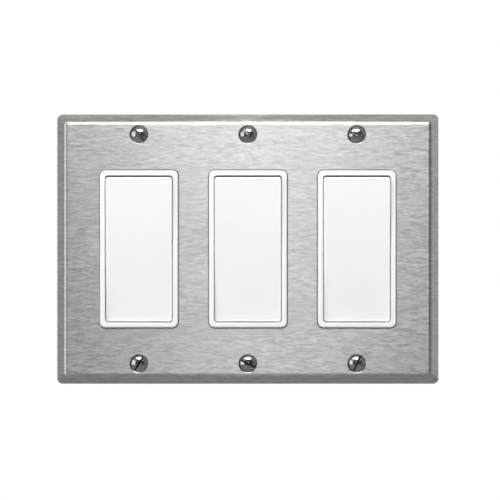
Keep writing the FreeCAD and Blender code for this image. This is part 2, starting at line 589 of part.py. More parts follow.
def make_terminals(name, x):
    """Brass load terminal with the lever's cradle, brass line terminal and its fixed silver contact."""
    plate_x0, plate_x1 = TERMINAL_X, TERMINAL_X + TERMINAL_SHEET
    arm_y0, arm_y1 = ARM_Y
    z0, z1 = TERMINAL_Z
    arm_end_z = z0 + LOAD_ARM_HEIGHT
    shank = BINDING_SHANK_RADIUS + 0.06
    half_width = LEVER_HALF_WIDTH

    # load terminal: upper side plate, an arm through the wall and the cradle under the lever
    plate = block(plate_x0, plate_x1, TERMINAL_FRONT_Y, arm_y1, z0, z1)
    arm = block(-half_width, plate_x1, arm_y0, arm_y1, z0, arm_end_z)
    foot = block(-half_width, half_width, arm_y0, arm_y1, FOOT_Z, arm_end_z)
    cradle = block(-half_width, half_width, CRADLE_Y, arm_y0, -CRADLE_HALF_HEIGHT, CRADLE_HALF_HEIGHT)
    load = fused(plate, arm, foot, cradle)
    load = load.cut([
        rod_x(LEVER_RIB_RADIUS + 0.05, LEVER_Y, 0, -5, 5),
        rod_x(shank, TERMINAL_SCREW_Y, TERMINAL_SCREW_Z, 10, 20),
    ])
    save(f"load_terminal_{name}", moved(load, x))

    # line terminal: lower side plate and an arm that carries the fixed contact
    plate = block(plate_x0, plate_x1, TERMINAL_FRONT_Y, arm_y1, -z1, -z0)
    arm = block(-half_width, plate_x1, arm_y0, arm_y1, *LINE_ARM_Z)
    line = fused(plate, arm).cut([
        rod_x(shank, TERMINAL_SCREW_Y, -TERMINAL_SCREW_Z, 10, 20),
        rod_y(CONTACT_HOLE, 0, CONTACT_Z, arm_y0 - 1, arm_y1 + 1),
    ])
    save(f"line_terminal_{name}", moved(line, x))

    outline = [
        (0, arm_y1 + 0.35),
        (1.3, arm_y1 + 0.35),
        (1.5, arm_y1),
        (CONTACT_SHANK, arm_y1),
        (CONTACT_SHANK, arm_y0),
        (2.0, arm_y0),
        (1.9, arm_y0 - 0.6),
        (1.0, arm_y0 - 0.78),
        (0, arm_y0 - 0.82),
    ]
    save(f"fixed_contact_{name}", moved(turned(outline), x, 0, CONTACT_Z))


def binding_screw(head_radius, seat_x, tip_x):
    """A slotted binding-head screw along X, its head towards +X with its underside at seat_x."""
    top = seat_x + BINDING_HEAD_HEIGHT
    outline = [
        (0, tip_x),
        (BINDING_SHANK_RADIUS - BINDING_POINT, tip_x),
        (BINDING_SHANK_RADIUS, tip_x + BINDING_POINT),
        (BINDING_SHANK_RADIUS, seat_x),
        (head_radius, seat_x),
        (head_radius, top - 0.8),
        (head_radius - 0.5, top - 0.25),
        (head_radius - 1.4, top),
        (0, top),
    ]
    screw = turned(outline)
    half, depth = BINDING_SLOT
    slot = block(-6, 6, top - depth, top + 1, -half, half)
    return turned_by(screw.cut(slot), -90, Vector(0, 0, 1))


def make_terminal_screws(name, x):
    """Two brass wire screws in the right-hand pockets, and the green ground screw on the strap's tab."""
    axis = Vector(1, 0, 0)
    screw = binding_screw(BINDING_HEAD_RADIUS, TERMINAL_X + TERMINAL_SHEET + BINDING_GAP, BINDING_TIP_X)
    pair = []
    for side, angle in BINDING_ANGLES.items():
        pair.append(moved(turned_by(screw, angle, axis), x, TERMINAL_SCREW_Y, side * TERMINAL_SCREW_Z))
    save(f"terminal_screws_{name}", *pair)

    ground_y, ground_z = GROUND_SCREW_AT
    seat = STRAP_HALF_WIDTH + GROUND_SEAT
    ground = binding_screw(GROUND_HEAD_RADIUS, seat, STRAP_HALF_WIDTH - 3.6)
    # the strap's tapped hole is cut for a smaller shank than the wire screws have
    shank = TAPPED_RADIUS - 0.05
    trimmer = turned([(shank, -30), (8, -30), (8, seat), (shank, seat)])
    ground = ground.cut(turned_by(trimmer, -90, Vector(0, 0, 1)))
    ground = turned_by(turned_by(ground, 180, Vector(0, 0, 1)), GROUND_ANGLE, axis)
    save(f"ground_screw_{name}", moved(ground, x, ground_y, ground_z))


def make_wire_clamps(name, x):
    """Two bent spring strips that bite a solid wire pushed in from the back."""
    half_sheet = CLAMP_SHEET / 2
    start_y, end_y = CLAMP_Y
    x0, x1 = PUSH_IN_X - CLAMP_HALF_WIDTH, PUSH_IN_X + CLAMP_HALF_WIDTH
    clamps = []
    for side in (1, -1):
        z = side * PUSH_IN_Z
        base_z, leaf_z = z + side * CLAMP_BASE_Z, z - side * CLAMP_LEAF_Z
        base = block(x0, x1, start_y, end_y, base_z - half_sheet, base_z + half_sheet)
        foot = block(x0, x1, start_y, start_y + CLAMP_SHEET, *sorted((base_z, leaf_z)))
        leaf = block(x0, x1, start_y, CLAMP_LEAF_END_Y, z - half_sheet, z + half_sheet)
        leaf = turned_by(leaf, -side * CLAMP_LEAF_ANGLE, Vector(1, 0, 0), Vector(PUSH_IN_X, start_y, leaf_z))
        clamps.append(fused(base, foot, moved(leaf, z=-side * CLAMP_LEAF_SHIFT)))
    save(f"wire_clamps_{name}", *[moved(c, x) for c in clamps])


# ---------------------------------------------------------------- rear housing
def make_rear_housing(name, x):
    """Moulded cup behind the strap, with side pockets for the wire screws and push-in holes at the back."""
    y0, y1 = HOUSING_FRONT_Y, HOUSING_BACK_Y
    flange_back = y0 + HOUSING_FLANGE_THICKNESS
    floor_front = y1 - HOUSING_FLOOR
    flange = rounded_prism(HOUSING_FLANGE_HALF, FLANGE_RADIUS, y0, flange_back)
    cup = rounded_prism(HOUSING_HALF, HOUSING_CORNERS["cup"], y0, y1)
    cup = cup.makeFillet(HOUSING_CORNERS["back"], edges_at_y(cup, y1))
    housing = fused(flange, cup)
    housing = housing.cut(rounded_prism(HOUSING_CAVITY_HALF, HOUSING_CORNERS["cavity"], y0 - 1, floor_front))
    cutters = []
    side_x = HOUSING_FLANGE_HALF[0] + 1
    for side in (1, -1):
        pocket_z = sorted((side * POCKET_Z[0], side * POCKET_Z[1]))
        cutters.append(block(POCKET_X, side_x, *POCKET_Y, *pocket_z))
        cutters.append(block(-side_x, -BLANK_POCKET_X, BLANK_POCKET_START, POCKET_Y[1], *pocket_z))
        cutters.append(rod_x(SCREW_TIP_ROOM, TERMINAL_SCREW_Y, side * TERMINAL_SCREW_Z, 9, 14))
        window_z = sorted((side * ARM_WINDOW_Z[0], side * ARM_WINDOW_Z[1]))
        cutters.append(block(9, POCKET_X + 1, *ARM_WINDOW_Y, *window_z))
        cutters.append(rod_y(BOX_SCREW_ROOM, 0, side * BOX_SCREW_SPACING / 2, y0 - 1, flange_back + 1))
        for hand in (1, -1):
            rx, rz = hand * RIVET_AT[0], side * RIVET_AT[1]
            cutters.append(rod_y(RIVET_HOLE_RADIUS, rx, rz, y0 - 1, flange_back + 1))
    # notch for the strap's ground tab and screw
    ground_y, ground_z = GROUND_SCREW_AT
    notch_x = (-side_x, -STRAP_HALF_WIDTH + 4.4)
    cutters.append(block(*notch_x, y0 - 1, ground_y + 5.2, -STRAP_HALF_HEIGHT, ground_z + 5.4))
    housing = housing.cut(cutters)

    # tubes that guide a wire from the back into its clamp, and the rib that stops the lever
    inner = []
    for side in (1, -1):
        tube = rod_y(PUSH_IN_TUBE, PUSH_IN_X, side * PUSH_IN_Z, y1 - PUSH_IN_LENGTH, floor_front + 0.5)
        inner.append(tube)
    inner.append(block(-STOP_RIB_HALF_WIDTH, STOP_RIB_HALF_WIDTH, ARM_Y[0], floor_front + 0.5, *STOP_RIB_Z))
    housing = fused(housing, *inner)
    cutters = []
    for side in (1, -1):
        z = side * PUSH_IN_Z
        cutters.append(rod_y(PUSH_IN_RADIUS, PUSH_IN_X, z, 10, y1 + 1))
        slot_z = (z - RELEASE_HALF_HEIGHT, z + RELEASE_HALF_HEIGHT)
        cutters.append(block(*RELEASE_X, floor_front - 1, y1 + 1, *slot_z))
    gauge_z = (-STRIP_GAUGE_HALF_HEIGHT, STRIP_GAUGE_HALF_HEIGHT)
    cutters.append(block(*STRIP_GAUGE_X, y1 - STRIP_GAUGE_DEPTH, y1 + 1, *gauge_z))
    housing = housing.cut(cutters)
    save(f"rear_housing_{name}", moved(housing, x))


# ---------------------------------------------------------------- build
make_wall_plate()
make_plate_screws()
for gang, gang_x in GANGS.items():
    make_strap(gang, gang_x)
    make_box_screws(gang, gang_x)
    make_rivets(gang, gang_x)
    make_front_frame(gang, gang_x)
    make_rocker(gang, gang_x)
    make_plunger(gang, gang_x)
    make_contact_lever(gang, gang_x)
    make_terminals(gang, gang_x)
    make_terminal_screws(gang, gang_x)
    make_wire_clamps(gang, gang_x)
    make_rear_housing(gang, gang_x)
print("written", len(os.listdir("parts")), "files")
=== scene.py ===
import json
import math

import bmesh
import bpy
from mathutils import Matrix, Vector

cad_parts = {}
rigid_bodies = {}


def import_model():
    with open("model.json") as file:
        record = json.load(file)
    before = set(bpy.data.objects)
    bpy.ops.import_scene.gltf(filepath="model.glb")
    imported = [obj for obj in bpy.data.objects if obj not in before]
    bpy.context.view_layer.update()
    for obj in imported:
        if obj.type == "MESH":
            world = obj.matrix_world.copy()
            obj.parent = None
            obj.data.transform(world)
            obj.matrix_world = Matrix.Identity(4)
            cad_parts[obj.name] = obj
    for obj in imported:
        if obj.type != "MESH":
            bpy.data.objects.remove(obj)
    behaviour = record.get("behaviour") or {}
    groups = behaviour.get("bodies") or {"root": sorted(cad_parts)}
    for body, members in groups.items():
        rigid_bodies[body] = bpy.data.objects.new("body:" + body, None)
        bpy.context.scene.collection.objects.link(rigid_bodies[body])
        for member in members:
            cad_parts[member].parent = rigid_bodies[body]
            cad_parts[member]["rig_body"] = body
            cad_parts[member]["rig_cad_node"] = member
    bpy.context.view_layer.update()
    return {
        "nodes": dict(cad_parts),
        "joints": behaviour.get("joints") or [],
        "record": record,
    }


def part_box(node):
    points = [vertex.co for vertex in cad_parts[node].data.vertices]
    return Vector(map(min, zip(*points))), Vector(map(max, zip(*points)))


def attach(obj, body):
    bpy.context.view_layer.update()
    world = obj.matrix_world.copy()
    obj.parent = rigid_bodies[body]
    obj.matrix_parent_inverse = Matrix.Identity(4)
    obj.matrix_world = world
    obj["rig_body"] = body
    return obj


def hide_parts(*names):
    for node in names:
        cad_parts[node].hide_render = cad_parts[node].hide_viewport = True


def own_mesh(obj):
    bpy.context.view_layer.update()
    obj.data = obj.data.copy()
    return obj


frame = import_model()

mm = 0.001
gangs = ("left", "middle", "right")
weldReach = 0.001 * mm      # points nearer than this are one point
slack = 0.01 * mm           # what is picked may be this far from its place
flatLimit = 0.3             # degrees between faces that count as flat together
overlap = mm                # how far a cutting tool stands past what it cuts


def jointNamed(name):
    return [joint for joint in frame["joints"] if joint["name"] == name][0]


# where each gang stands, and the faces that the pieces are built from
gangX = {}
pivotY = {}
for gang in gangs:
    hinge = jointNamed(f"rocker_{gang}_press")
    gangX[gang] = hinge["pos_m"][0]
    pivotY[gang] = hinge["pos_m"][1]
plateLow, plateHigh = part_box("wall_plate")
plateFaceY = plateLow.y
halfPlateX = plateHigh.x
halfPlateZ = plateHigh.z


# small steps for building node trees
def newGroup(name, inputs, outputs):
    group = bpy.data.node_groups.new(name, "ShaderNodeTree")
    for label, kind, value in inputs:
        socket = group.interface.new_socket(name=label, in_out="INPUT", socket_type=kind)
        socket.default_value = value
    for label, kind in outputs:
        group.interface.new_socket(name=label, in_out="OUTPUT", socket_type=kind)
    source = group.nodes.new("NodeGroupInput")
    target = group.nodes.new("NodeGroupOutput")
    return group, source, target


def addNode(tree, kind, **settings):
    node = tree.nodes.new(kind)
    for key, value in settings.items():
        setattr(node, key, value)
    return node


def mathNode(tree, operation, first, second=None, third=None, clamp=False):
    node = addNode(tree, "ShaderNodeMath", operation=operation, use_clamp=clamp)
    for slot, value in enumerate((first, second, third)):
        if value is None:
            continue
        if isinstance(value, (int, float)):
            node.inputs[slot].default_value = value
        else:
            tree.links.new(value, node.inputs[slot])
    return node.outputs[0]


def rangeNode(tree, value, fromLow, fromHigh, toLow, toHigh):
    node = addNode(tree, "ShaderNodeMapRange", interpolation_type="SMOOTHSTEP")
    tree.links.new(value, node.inputs["Value"])
    node.inputs["From Min"].default_value = fromLow
    node.inputs["From Max"].default_value = fromHigh
    node.inputs["To Min"].default_value = toLow
    node.inputs["To Max"].default_value = toHigh
    return node.outputs["Result"]


def objectPoint(tree, scale=(1, 1, 1)):
    place = addNode(tree, "ShaderNodeTexCoord")
    mapping = addNode(tree, "ShaderNodeMapping")
    mapping.inputs["Scale"].default_value = scale
    tree.links.new(place.outputs["Object"], mapping.inputs["Vector"])
    return mapping.outputs["Vector"]


def noiseNode(tree, vector, scale, detail, rough):
    node = addNode(tree, "ShaderNodeTexNoise")
    node.inputs["Scale"].default_value = scale
    node.inputs["Detail"].default_value = detail
    node.inputs["Roughness"].default_value = rough
    tree.links.new(vector, node.inputs["Vector"])
    return node.outputs["Fac"]


# camera, light and floor
cameraView = {
    "place": Vector((0.87 * mm, -1.15, -0.4 * mm)),
    "lens": 195.0,
    "sensor": 36,
    "nearest": 0.01,
}


def makeCamera():
    bpy.ops.object.camera_add(location=cameraView["place"], rotation=(math.radians(90), 0, 0))
    camera = bpy.context.object
    camera.name = "frontCamera"
    camera.data.lens = cameraView["lens"]
    camera.data.sensor_width = cameraView["sensor"]
    camera.data.clip_start = cameraView["nearest"]
    camera.data.dof.use_dof = False
    bpy.context.scene.camera = camera


studio = {
    "floorDrop": 0.26,        # below the middle of the plate
    "floorRadius": 1.6,
    "floorPaint": (0.36, 0.36, 0.36),
    "floorGloss": 0.75,       # roughness
    "backdrop": (1.0, 1.0, 1.0),
}

# how bright the room is towards each side; the front is behind the camera
roomSides = (
    # axis, sign, colour
    (0, -1, (0.66, 0.68, 0.68)),
    (0, 1, (0.84, 0.85, 0.84)),
    (1, -1, (0.10, 0.10, 0.105)),
    (1, 1, (0.72, 0.72, 0.72)),
    (2, -1, (0.35, 0.35, 0.34)),
    (2, 1, (0.82, 0.78, 0.72)),
)
roomShade = {
    "towards": (0.35, -0.94, 0.0),   # the dim side behind the camera, mostly to its right
    "start": 0.35,
    "full": 0.95,
    "depth": 0.65,
}

softBoxes = (
    # name, place, width, height, power, colour; each is aimed at the plate
    ("topBox", (-0.02, -0.31, 0.34), 0.54, 0.12, 1.1, (1.0, 0.995, 0.985)),
    ("highBox", (0.045, -0.50, 0.50), 0.42, 0.24, 2.5, (1.0, 0.995, 0.985)),
    ("leftBox", (-1.05, -0.72, 0.12), 0.75, 0.85, 4.5, (1.0, 1.0, 1.0)),
    ("glowBox", (0.01, -1.45, 0.24), 0.20, 0.10, 1.1, (1.0, 1.0, 1.0)),
    ("backBox", (-0.50, 1.10, 0.70), 0.90, 0.90, 5.0, (1.0, 1.0, 1.0)),
    ("rearFill", (0.80, 0.90, -0.10), 0.70, 0.70, 3.0, (1.0, 1.0, 1.0)),
)


def makeLights():
    for name, place, width, height, power, colour in softBoxes:
        aim = (-Vector(place)).to_track_quat("-Z", "Y").to_euler()
        bpy.ops.object.light_add(type="AREA", location=place, rotation=aim)
        box = bpy.context.object
        box.name = name
        box.data.shape = "RECTANGLE"
        box.data.size = width
        box.data.size_y = height
        box.data.energy = power
        box.data.color = colour


def makeFloor():
    bpy.ops.mesh.primitive_circle_add(vertices=96, radius=studio["floorRadius"], fill_type="NGON",
                                      location=(0, 0, -studio["floorDrop"]))
    floor = bpy.context.object
    floor.name = "paleFloor"
    paint = bpy.data.materials.new("paleFloorPaint")
    paint.use_nodes = True
    shader = paint.node_tree.nodes["Principled BSDF"]
    shader.inputs["Roughness"].default_value = studio["floorGloss"]
    shader.inputs["Base Color"].default_value = (*studio["floorPaint"], 1)
    floor.data.materials.append(paint)


def sideLight(tree, axes, axis, sign, colour):
    # this side's colour, by the square of how far the direction points to it
    towards = mathNode(tree, "MAXIMUM", mathNode(tree, "MULTIPLY", axes.outputs[axis], sign), 0.0)
    part = addNode(tree, "ShaderNodeVectorMath", operation="SCALE")
    part.inputs[0].default_value = colour
    tree.links.new(mathNode(tree, "MULTIPLY", towards, towards), part.inputs["Scale"])
    return part.outputs[0]


def makeRoom():
    world = bpy.data.worlds.new("paleRoom")
    bpy.context.scene.world = world
    world.use_nodes = True
    tree = world.node_tree
    tree.nodes.clear()
    place = addNode(tree, "ShaderNodeTexCoord")
    axes = addNode(tree, "ShaderNodeSeparateXYZ")
    tree.links.new(place.outputs["Generated"], axes.inputs[0])
    total = None
    for axis, sign, colour in roomSides:
        part = sideLight(tree, axes, axis, sign, colour)
        if total is None:
            total = part
            continue
        added = addNode(tree, "ShaderNodeVectorMath", operation="ADD")
        tree.links.new(total, added.inputs[0])
        tree.links.new(part, added.inputs[1])
        total = added.outputs[0]
    facing = addNode(tree, "ShaderNodeVectorMath", operation="DOT_PRODUCT")
    tree.links.new(place.outputs["Generated"], facing.inputs[0])
    facing.inputs[1].default_value = Vector(roomShade["towards"]).normalized()
    shade = rangeNode(tree, facing.outputs["Value"], roomShade["start"], roomShade["full"],
                      1.0, 1 - roomShade["depth"])
    dimmed = addNode(tree, "ShaderNodeVectorMath", operation="SCALE")
    tree.links.new(total, dimmed.inputs[0])
    tree.links.new(shade, dimmed.inputs["Scale"])

    room = addNode(tree, "ShaderNodeBackground")
    tree.links.new(dimmed.outputs[0], room.inputs["Color"])
    backdrop = addNode(tree, "ShaderNodeBackground")
    backdrop.inputs["Color"].default_value = (*studio["backdrop"], 1)
    ray = addNode(tree, "ShaderNodeLightPath")
    mix = addNode(tree, "ShaderNodeMixShader")
    out = addNode(tree, "ShaderNodeOutputWorld")
    tree.links.new(ray.outputs["Is Camera Ray"], mix.inputs["Fac"])
    tree.links.new(room.outputs["Background"], mix.inputs[1])
    tree.links.new(backdrop.outputs["Background"], mix.inputs[2])
    tree.links.new(mix.outputs["Shader"], out.inputs["Surface"])
    view = bpy.context.scene.view_settings
    view.view_transform = "Standard"
    view.look = "None"
    view.exposure = 0
    view.gamma = 1


makeCamera()
makeLights()
makeFloor()
makeRoom()
print("camera, light and floor are set")


# effects shared by the materials
brushing = {
    # rows in a metre across the brushing, and dashes in a metre along it
    "fine": ((5300, 300), (3100, 230)),
    "medium": ((1900, 190), (2300, 240)),
    "rowStep": 7.31,              # sets one row's dashes apart from the next row's
    "scratches": (90, 400, 2600),
    "bands": (14, 60, 240),
    "hairs": (70, 700, 2600),
}


def brushRows(tree, perMetre, along):
    # every row across the brushing has its own run of light and dark dashes
    place = addNode(tree, "ShaderNodeTexCoord")
    axes = addNode(tree, "ShaderNodeSeparateXYZ")
    tree.links.new(place.outputs["Object"], axes.inputs[0])
    row = mathNode(tree, "FLOOR", mathNode(tree, "MULTIPLY", axes.outputs["Z"], perMetre))
    spot = addNode(tree, "ShaderNodeCombineXYZ")
    tree.links.new(mathNode(tree, "MULTIPLY", axes.outputs["X"], along), spot.inputs["X"])
    tree.links.new(mathNode(tree, "MULTIPLY", row, brushing["rowStep"]), spot.inputs["Y"])
    tree.links.new(mathNode(tree, "MULTIPLY", axes.outputs["Y"], along), spot.inputs["Z"])
    return noiseNode(tree, spot.outputs["Vector"], 1.0, 2.0, 0.6)


def mixedRows(tree, pair):
    both = mathNode(tree, "ADD", brushRows(tree, *pair[0]), brushRows(tree, *pair[1]))
    return mathNode(tree, "MULTIPLY", both, 0.5)


def makeBrushedGrain():
    # straight fine lines along X, with broader bands and a few deeper hairlines
    group, source, target = newGroup(
        "brushedGrain",
        [("Fineness", "NodeSocketFloat", 0.6)],
        [("Lines", "NodeSocketFloat"), ("Bands", "NodeSocketFloat"), ("Hairlines", "NodeSocketFloat"),
         ("Scratches", "NodeSocketFloat")],
    )
    fine = mixedRows(group, brushing["fine"])
    medium = mixedRows(group, brushing["medium"])
    scratch = noiseNode(group, objectPoint(group, brushing["scratches"]), 1.0, 2.0, 0.55)
    broad = noiseNode(group, objectPoint(group, brushing["bands"]), 1.0, 3.0, 0.6)
    hair = noiseNode(group, objectPoint(group, brushing["hairs"]), 1.0, 1.0, 0.4)
    share = source.outputs["Fineness"]
    rest = mathNode(group, "SUBTRACT", 1.0, share)
    lines = mathNode(group, "MULTIPLY_ADD", fine, share, mathNode(group, "MULTIPLY", medium, rest))
    group.links.new(lines, target.inputs["Lines"])
    group.links.new(broad, target.inputs["Bands"])
    group.links.new(rangeNode(group, hair, 0.66, 0.78, 0.0, 1.0), target.inputs["Hairlines"])
    group.links.new(scratch, target.inputs["Scratches"])
    return group


def makeMouldedSkin():
    # the fine orange peel and the slow flow marks of moulded plastic
    group, source, target = newGroup(
        "mouldedSkin",
        [("Grain", "NodeSocketFloat", 900.0)],
        [("Peel", "NodeSocketFloat"), ("Flow", "NodeSocketFloat")],
    )
    place = objectPoint(group)
    peel = addNode(group, "ShaderNodeTexNoise")
    peel.inputs["Detail"].default_value = 2.0
    group.links.new(place, peel.inputs["Vector"])
    group.links.new(source.outputs["Grain"], peel.inputs["Scale"])
    flow = noiseNode(group, objectPoint(group, (1, 1, 0.5)), 55.0, 2.0, 0.5)
    group.links.new(peel.outputs["Fac"], target.inputs["Peel"])
    group.links.new(flow, target.inputs["Flow"])
    return group


def makeEdgeWearAndHollowShade():
    # light on outer edges as wear, and a mask for painted shade that darkens inner corners, from the
    # surface's own bend
    group, source, target = newGroup(
        "edgeWearAndHollowShade",
        [("Start", "NodeSocketFloat", 0.03), ("Spread", "NodeSocketFloat", 0.06)],
        [("Edge", "NodeSocketFloat"), ("HollowShade", "NodeSocketFloat")],
    )
    shape = addNode(group, "ShaderNodeNewGeometry")
    ragged = noiseNode(group, objectPoint(group), 420.0, 3.0, 0.6)
    above = mathNode(group, "SUBTRACT", shape.outputs["Pointiness"], 0.5)
    above = mathNode(group, "SUBTRACT", above, source.outputs["Start"])
    edge = mathNode(group, "DIVIDE", above, source.outputs["Spread"], clamp=True)
    edge = mathNode(group, "MULTIPLY", edge, rangeNode(group, ragged, 0.35, 0.65, 0.35, 1.0))
    # painted shade: this mask grows where the surface bends inwards, standing in for the shade that falls in
    # inner corners
    below = mathNode(group, "SUBTRACT", 0.5, shape.outputs["Pointiness"])
    below = mathNode(group, "SUBTRACT", below, source.outputs["Start"])
    hollowShade = mathNode(group, "DIVIDE", below, source.outputs["Spread"], clamp=True)
    group.links.new(edge, target.inputs["Edge"])
    group.links.new(hollowShade, target.inputs["HollowShade"])
    return group


def makePlatedSkin():
    # cloudy patches and small specks of a plated or rolled metal
    group, source, target = newGroup(
        "platedSkin",
        [("Patch", "NodeSocketFloat", 160.0)],
        [("Cloud", "NodeSocketFloat"), ("Speck", "NodeSocketFloat")],
    )
    place = objectPoint(group)
    cloud = addNode(group, "ShaderNodeTexNoise")
    cloud.inputs["Detail"].default_value = 4.0
    cloud.inputs["Roughness"].default_value = 0.6
    cloud.inputs["Distortion"].default_value = 0.4
    group.links.new(place, cloud.inputs["Vector"])
    group.links.new(source.outputs["Patch"], cloud.inputs["Scale"])
    speck = noiseNode(group, place, 2100.0, 2.0, 0.5)
    group.links.new(cloud.outputs["Fac"], target.inputs["Cloud"])
    group.links.new(speck, target.inputs["Speck"])
    return group


brushedGrain = makeBrushedGrain()
mouldedSkin = makeMouldedSkin()
edgeWearAndHollowShade = makeEdgeWearAndHollowShade()
platedSkin = makePlatedSkin()


def newMaterial(name, metallic=0.0, roughness=0.5, **sockets):
    material = bpy.data.materials.new(name)
    material.use_nodes = True
    tree = material.node_tree
    shader = tree.nodes["Principled BSDF"]
    shader.inputs["Metallic"].default_value = metallic
    shader.inputs["Roughness"].default_value = roughness
    for label, value in sockets.items():
        shader.inputs[label.replace("_", " ")].default_value = value
    return material, tree, shader


def placeGroup(tree, group, **values):
    node = addNode(tree, "ShaderNodeGroup", node_tree=group)
    for label, value in values.items():
        node.inputs[label].default_value = value
    return node


def blendColours(tree, amount, first, second):
    node = addNode(tree, "ShaderNodeMix", data_type="RGBA")
    for slot, value in (("A", first), ("B", second)):
        socket = [s for s in node.inputs if s.name == slot and s.type == "RGBA"][0]
        if isinstance(value, tuple):
            socket.default_value = (*value, 1)
        else:
            tree.links.new(value, socket)
    factor = [s for s in node.inputs if s.name == "Factor" and s.type == "VALUE"][0]
    tree.links.new(amount, factor)
    return [s for s in node.outputs if s.type == "RGBA"][0]


def bumpFrom(tree, shader, height, strength, distance):
    bump = addNode(tree, "ShaderNodeBump")
    bump.inputs["Strength"].default_value = strength
    bump.inputs["Distance"].default_value = distance
    tree.links.new(height, bump.inputs["Height"])
    tree.links.new(bump.outputs["Normal"], shader.inputs["Normal"])


skinDepth = 0.03 * mm       # how deep the finest marks of a surface are
steelLook = {
    "fineness": 0.4,
    "dark": (0.30, 0.30, 0.30),
    "light": (0.53, 0.53, 0.53),
    "band": (0.38, 0.377, 0.37),
    "hair": (0.33, 0.33, 0.325),
    "roughness": (0.28, 0.38),
    "scratchBump": 0.25,
}


def makeBrushedSteel():
    look = steelLook
    material, tree, shader = newMaterial("brushedStainless", metallic=1.0, Anisotropic=0.9,
                                         Anisotropic_Rotation=0.25)
    grain = placeGroup(tree, brushedGrain, Fineness=look["fineness"])
    lines, bands, hair = (grain.outputs[label] for label in ("Lines", "Bands", "Hairlines"))
    tone = rangeNode(tree, lines, 0.36, 0.64, 0.0, 1.0)
    colour = blendColours(tree, tone, look["dark"], look["light"])
    colour = blendColours(tree, rangeNode(tree, bands, 0.3, 0.7, 0.0, 0.4), colour, look["band"])
    colour = blendColours(tree, mathNode(tree, "MULTIPLY", hair, 0.35), colour, look["hair"])
    tree.links.new(colour, shader.inputs["Base Color"])
    tree.links.new(rangeNode(tree, lines, 0.3, 0.7, *look["roughness"]), shader.inputs["Roughness"])
    bumpFrom(tree, shader, grain.outputs["Scratches"], look["scratchBump"], skinDepth)
    return material


whiteLook = {
    "dull": (0.825, 0.825, 0.828),
    "clear": (0.838, 0.838, 0.841),
    "roughness": (0.29, 0.32),
}


def makeWhitePlastic(name="whitePlastic", warmth=0.0):
    look = whiteLook
    material, tree, shader = newMaterial(name, roughness=0.3, IOR=1.49, Subsurface_Weight=0.04,
                                         Subsurface_Scale=2 * mm)
    skin = placeGroup(tree, mouldedSkin, Grain=1500.0)
    flow = skin.outputs["Flow"]
    dull, clear = ((red, green, blue - warmth) for red, green, blue in (look["dull"], look["clear"]))
    colour = blendColours(tree, rangeNode(tree, flow, 0.3, 0.7, 0.0, 1.0), dull, clear)
    tree.links.new(colour, shader.inputs["Base Color"])
    tree.links.new(rangeNode(tree, flow, 0.3, 0.7, *look["roughness"]), shader.inputs["Roughness"])
    bumpFrom(tree, shader, skin.outputs["Peel"], 0.06, skinDepth)
    return material


housingLook = {
    "dull": (0.60, 0.60, 0.58),
    "clear": (0.67, 0.67, 0.65),
    "dust": (0.50, 0.49, 0.46),
    "roughness": (0.48, 0.64),
}


def makeHousingPlastic():
    look = housingLook
    material, tree, shader = newMaterial("housingPlastic", roughness=0.55)
    skin = placeGroup(tree, mouldedSkin, Grain=2600.0)
    flow = rangeNode(tree, skin.outputs["Flow"], 0.3, 0.7, 0.0, 1.0)
    colour = blendColours(tree, flow, look["dull"], look["clear"])
    specks = noiseNode(tree, objectPoint(tree, (1, 0.4, 1)), 130.0, 5.0, 0.7)
    colour = blendColours(tree, rangeNode(tree, specks, 0.5, 0.75, 0.0, 0.3), colour, look["dust"])
    tree.links.new(colour, shader.inputs["Base Color"])
    gloss = rangeNode(tree, skin.outputs["Peel"], 0.3, 0.7, *look["roughness"])
    tree.links.new(gloss, shader.inputs["Roughness"])
    bumpFrom(tree, shader, skin.outputs["Peel"], 0.35, 2 * skinDepth)
    return material


def makePlatedMetal(name, dark, light, roughLow, roughHigh, patch, bump):
    material, tree, shader = newMaterial(name, metallic=1.0)
    skin = placeGroup(tree, platedSkin, Patch=patch)
    wearAndShade = placeGroup(tree, edgeWearAndHollowShade, Spread=0.06)
    cloud = skin.outputs["Cloud"]
    colour = blendColours(tree, rangeNode(tree, cloud, 0.32, 0.68, 0.0, 1.0), dark, light)
    bright = tuple(min(1.0, c * 1.2) for c in light)
    colour = blendColours(tree, mathNode(tree, "MULTIPLY", wearAndShade.outputs["Edge"], 0.5), colour, bright)
    # painted shade: the colour is darkened to less than half in inner corners, where shade falls
    dull = tuple(c * 0.45 for c in dark)
    colour = blendColours(tree, mathNode(tree, "MULTIPLY", wearAndShade.outputs["HollowShade"], 0.5), colour, dull)
    tree.links.new(colour, shader.inputs["Base Color"])
    tree.links.new(rangeNode(tree, cloud, 0.3, 0.7, roughLow, roughHigh), shader.inputs["Roughness"])
    bumpFrom(tree, shader, skin.outputs["Speck"], bump, skinDepth)
    return material


greenLook = {
    "deep": (0.02, 0.20, 0.07),
    "thin": (0.05, 0.34, 0.13),
    "rubbed": (0.55, 0.58, 0.50),
}


def makeGreenDye():
    # green lacquer over zinc, thin where the driver and the edges rub
    look = greenLook
    material, tree, shader = newMaterial("greenDye", roughness=0.35, Coat_Weight=0.25, Coat_Roughness=0.25)
    skin = placeGroup(tree, platedSkin, Patch=420.0)
    wearAndShade = placeGroup(tree, edgeWearAndHollowShade, Spread=0.05)
    cloud = rangeNode(tree, skin.outputs["Cloud"], 0.3, 0.7, 0.0, 1.0)
    colour = blendColours(tree, cloud, look["deep"], look["thin"])
    rub = mathNode(tree, "MULTIPLY", wearAndShade.outputs["Edge"], 0.75)
    colour = blendColours(tree, rub, colour, look["rubbed"])
    tree.links.new(colour, shader.inputs["Base Color"])
    tree.links.new(rangeNode(tree, rub, 0.0, 1.0, 0.65, 1.0), shader.inputs["Metallic"])
    bumpFrom(tree, shader, skin.outputs["Speck"], 0.2, skinDepth)
    return material


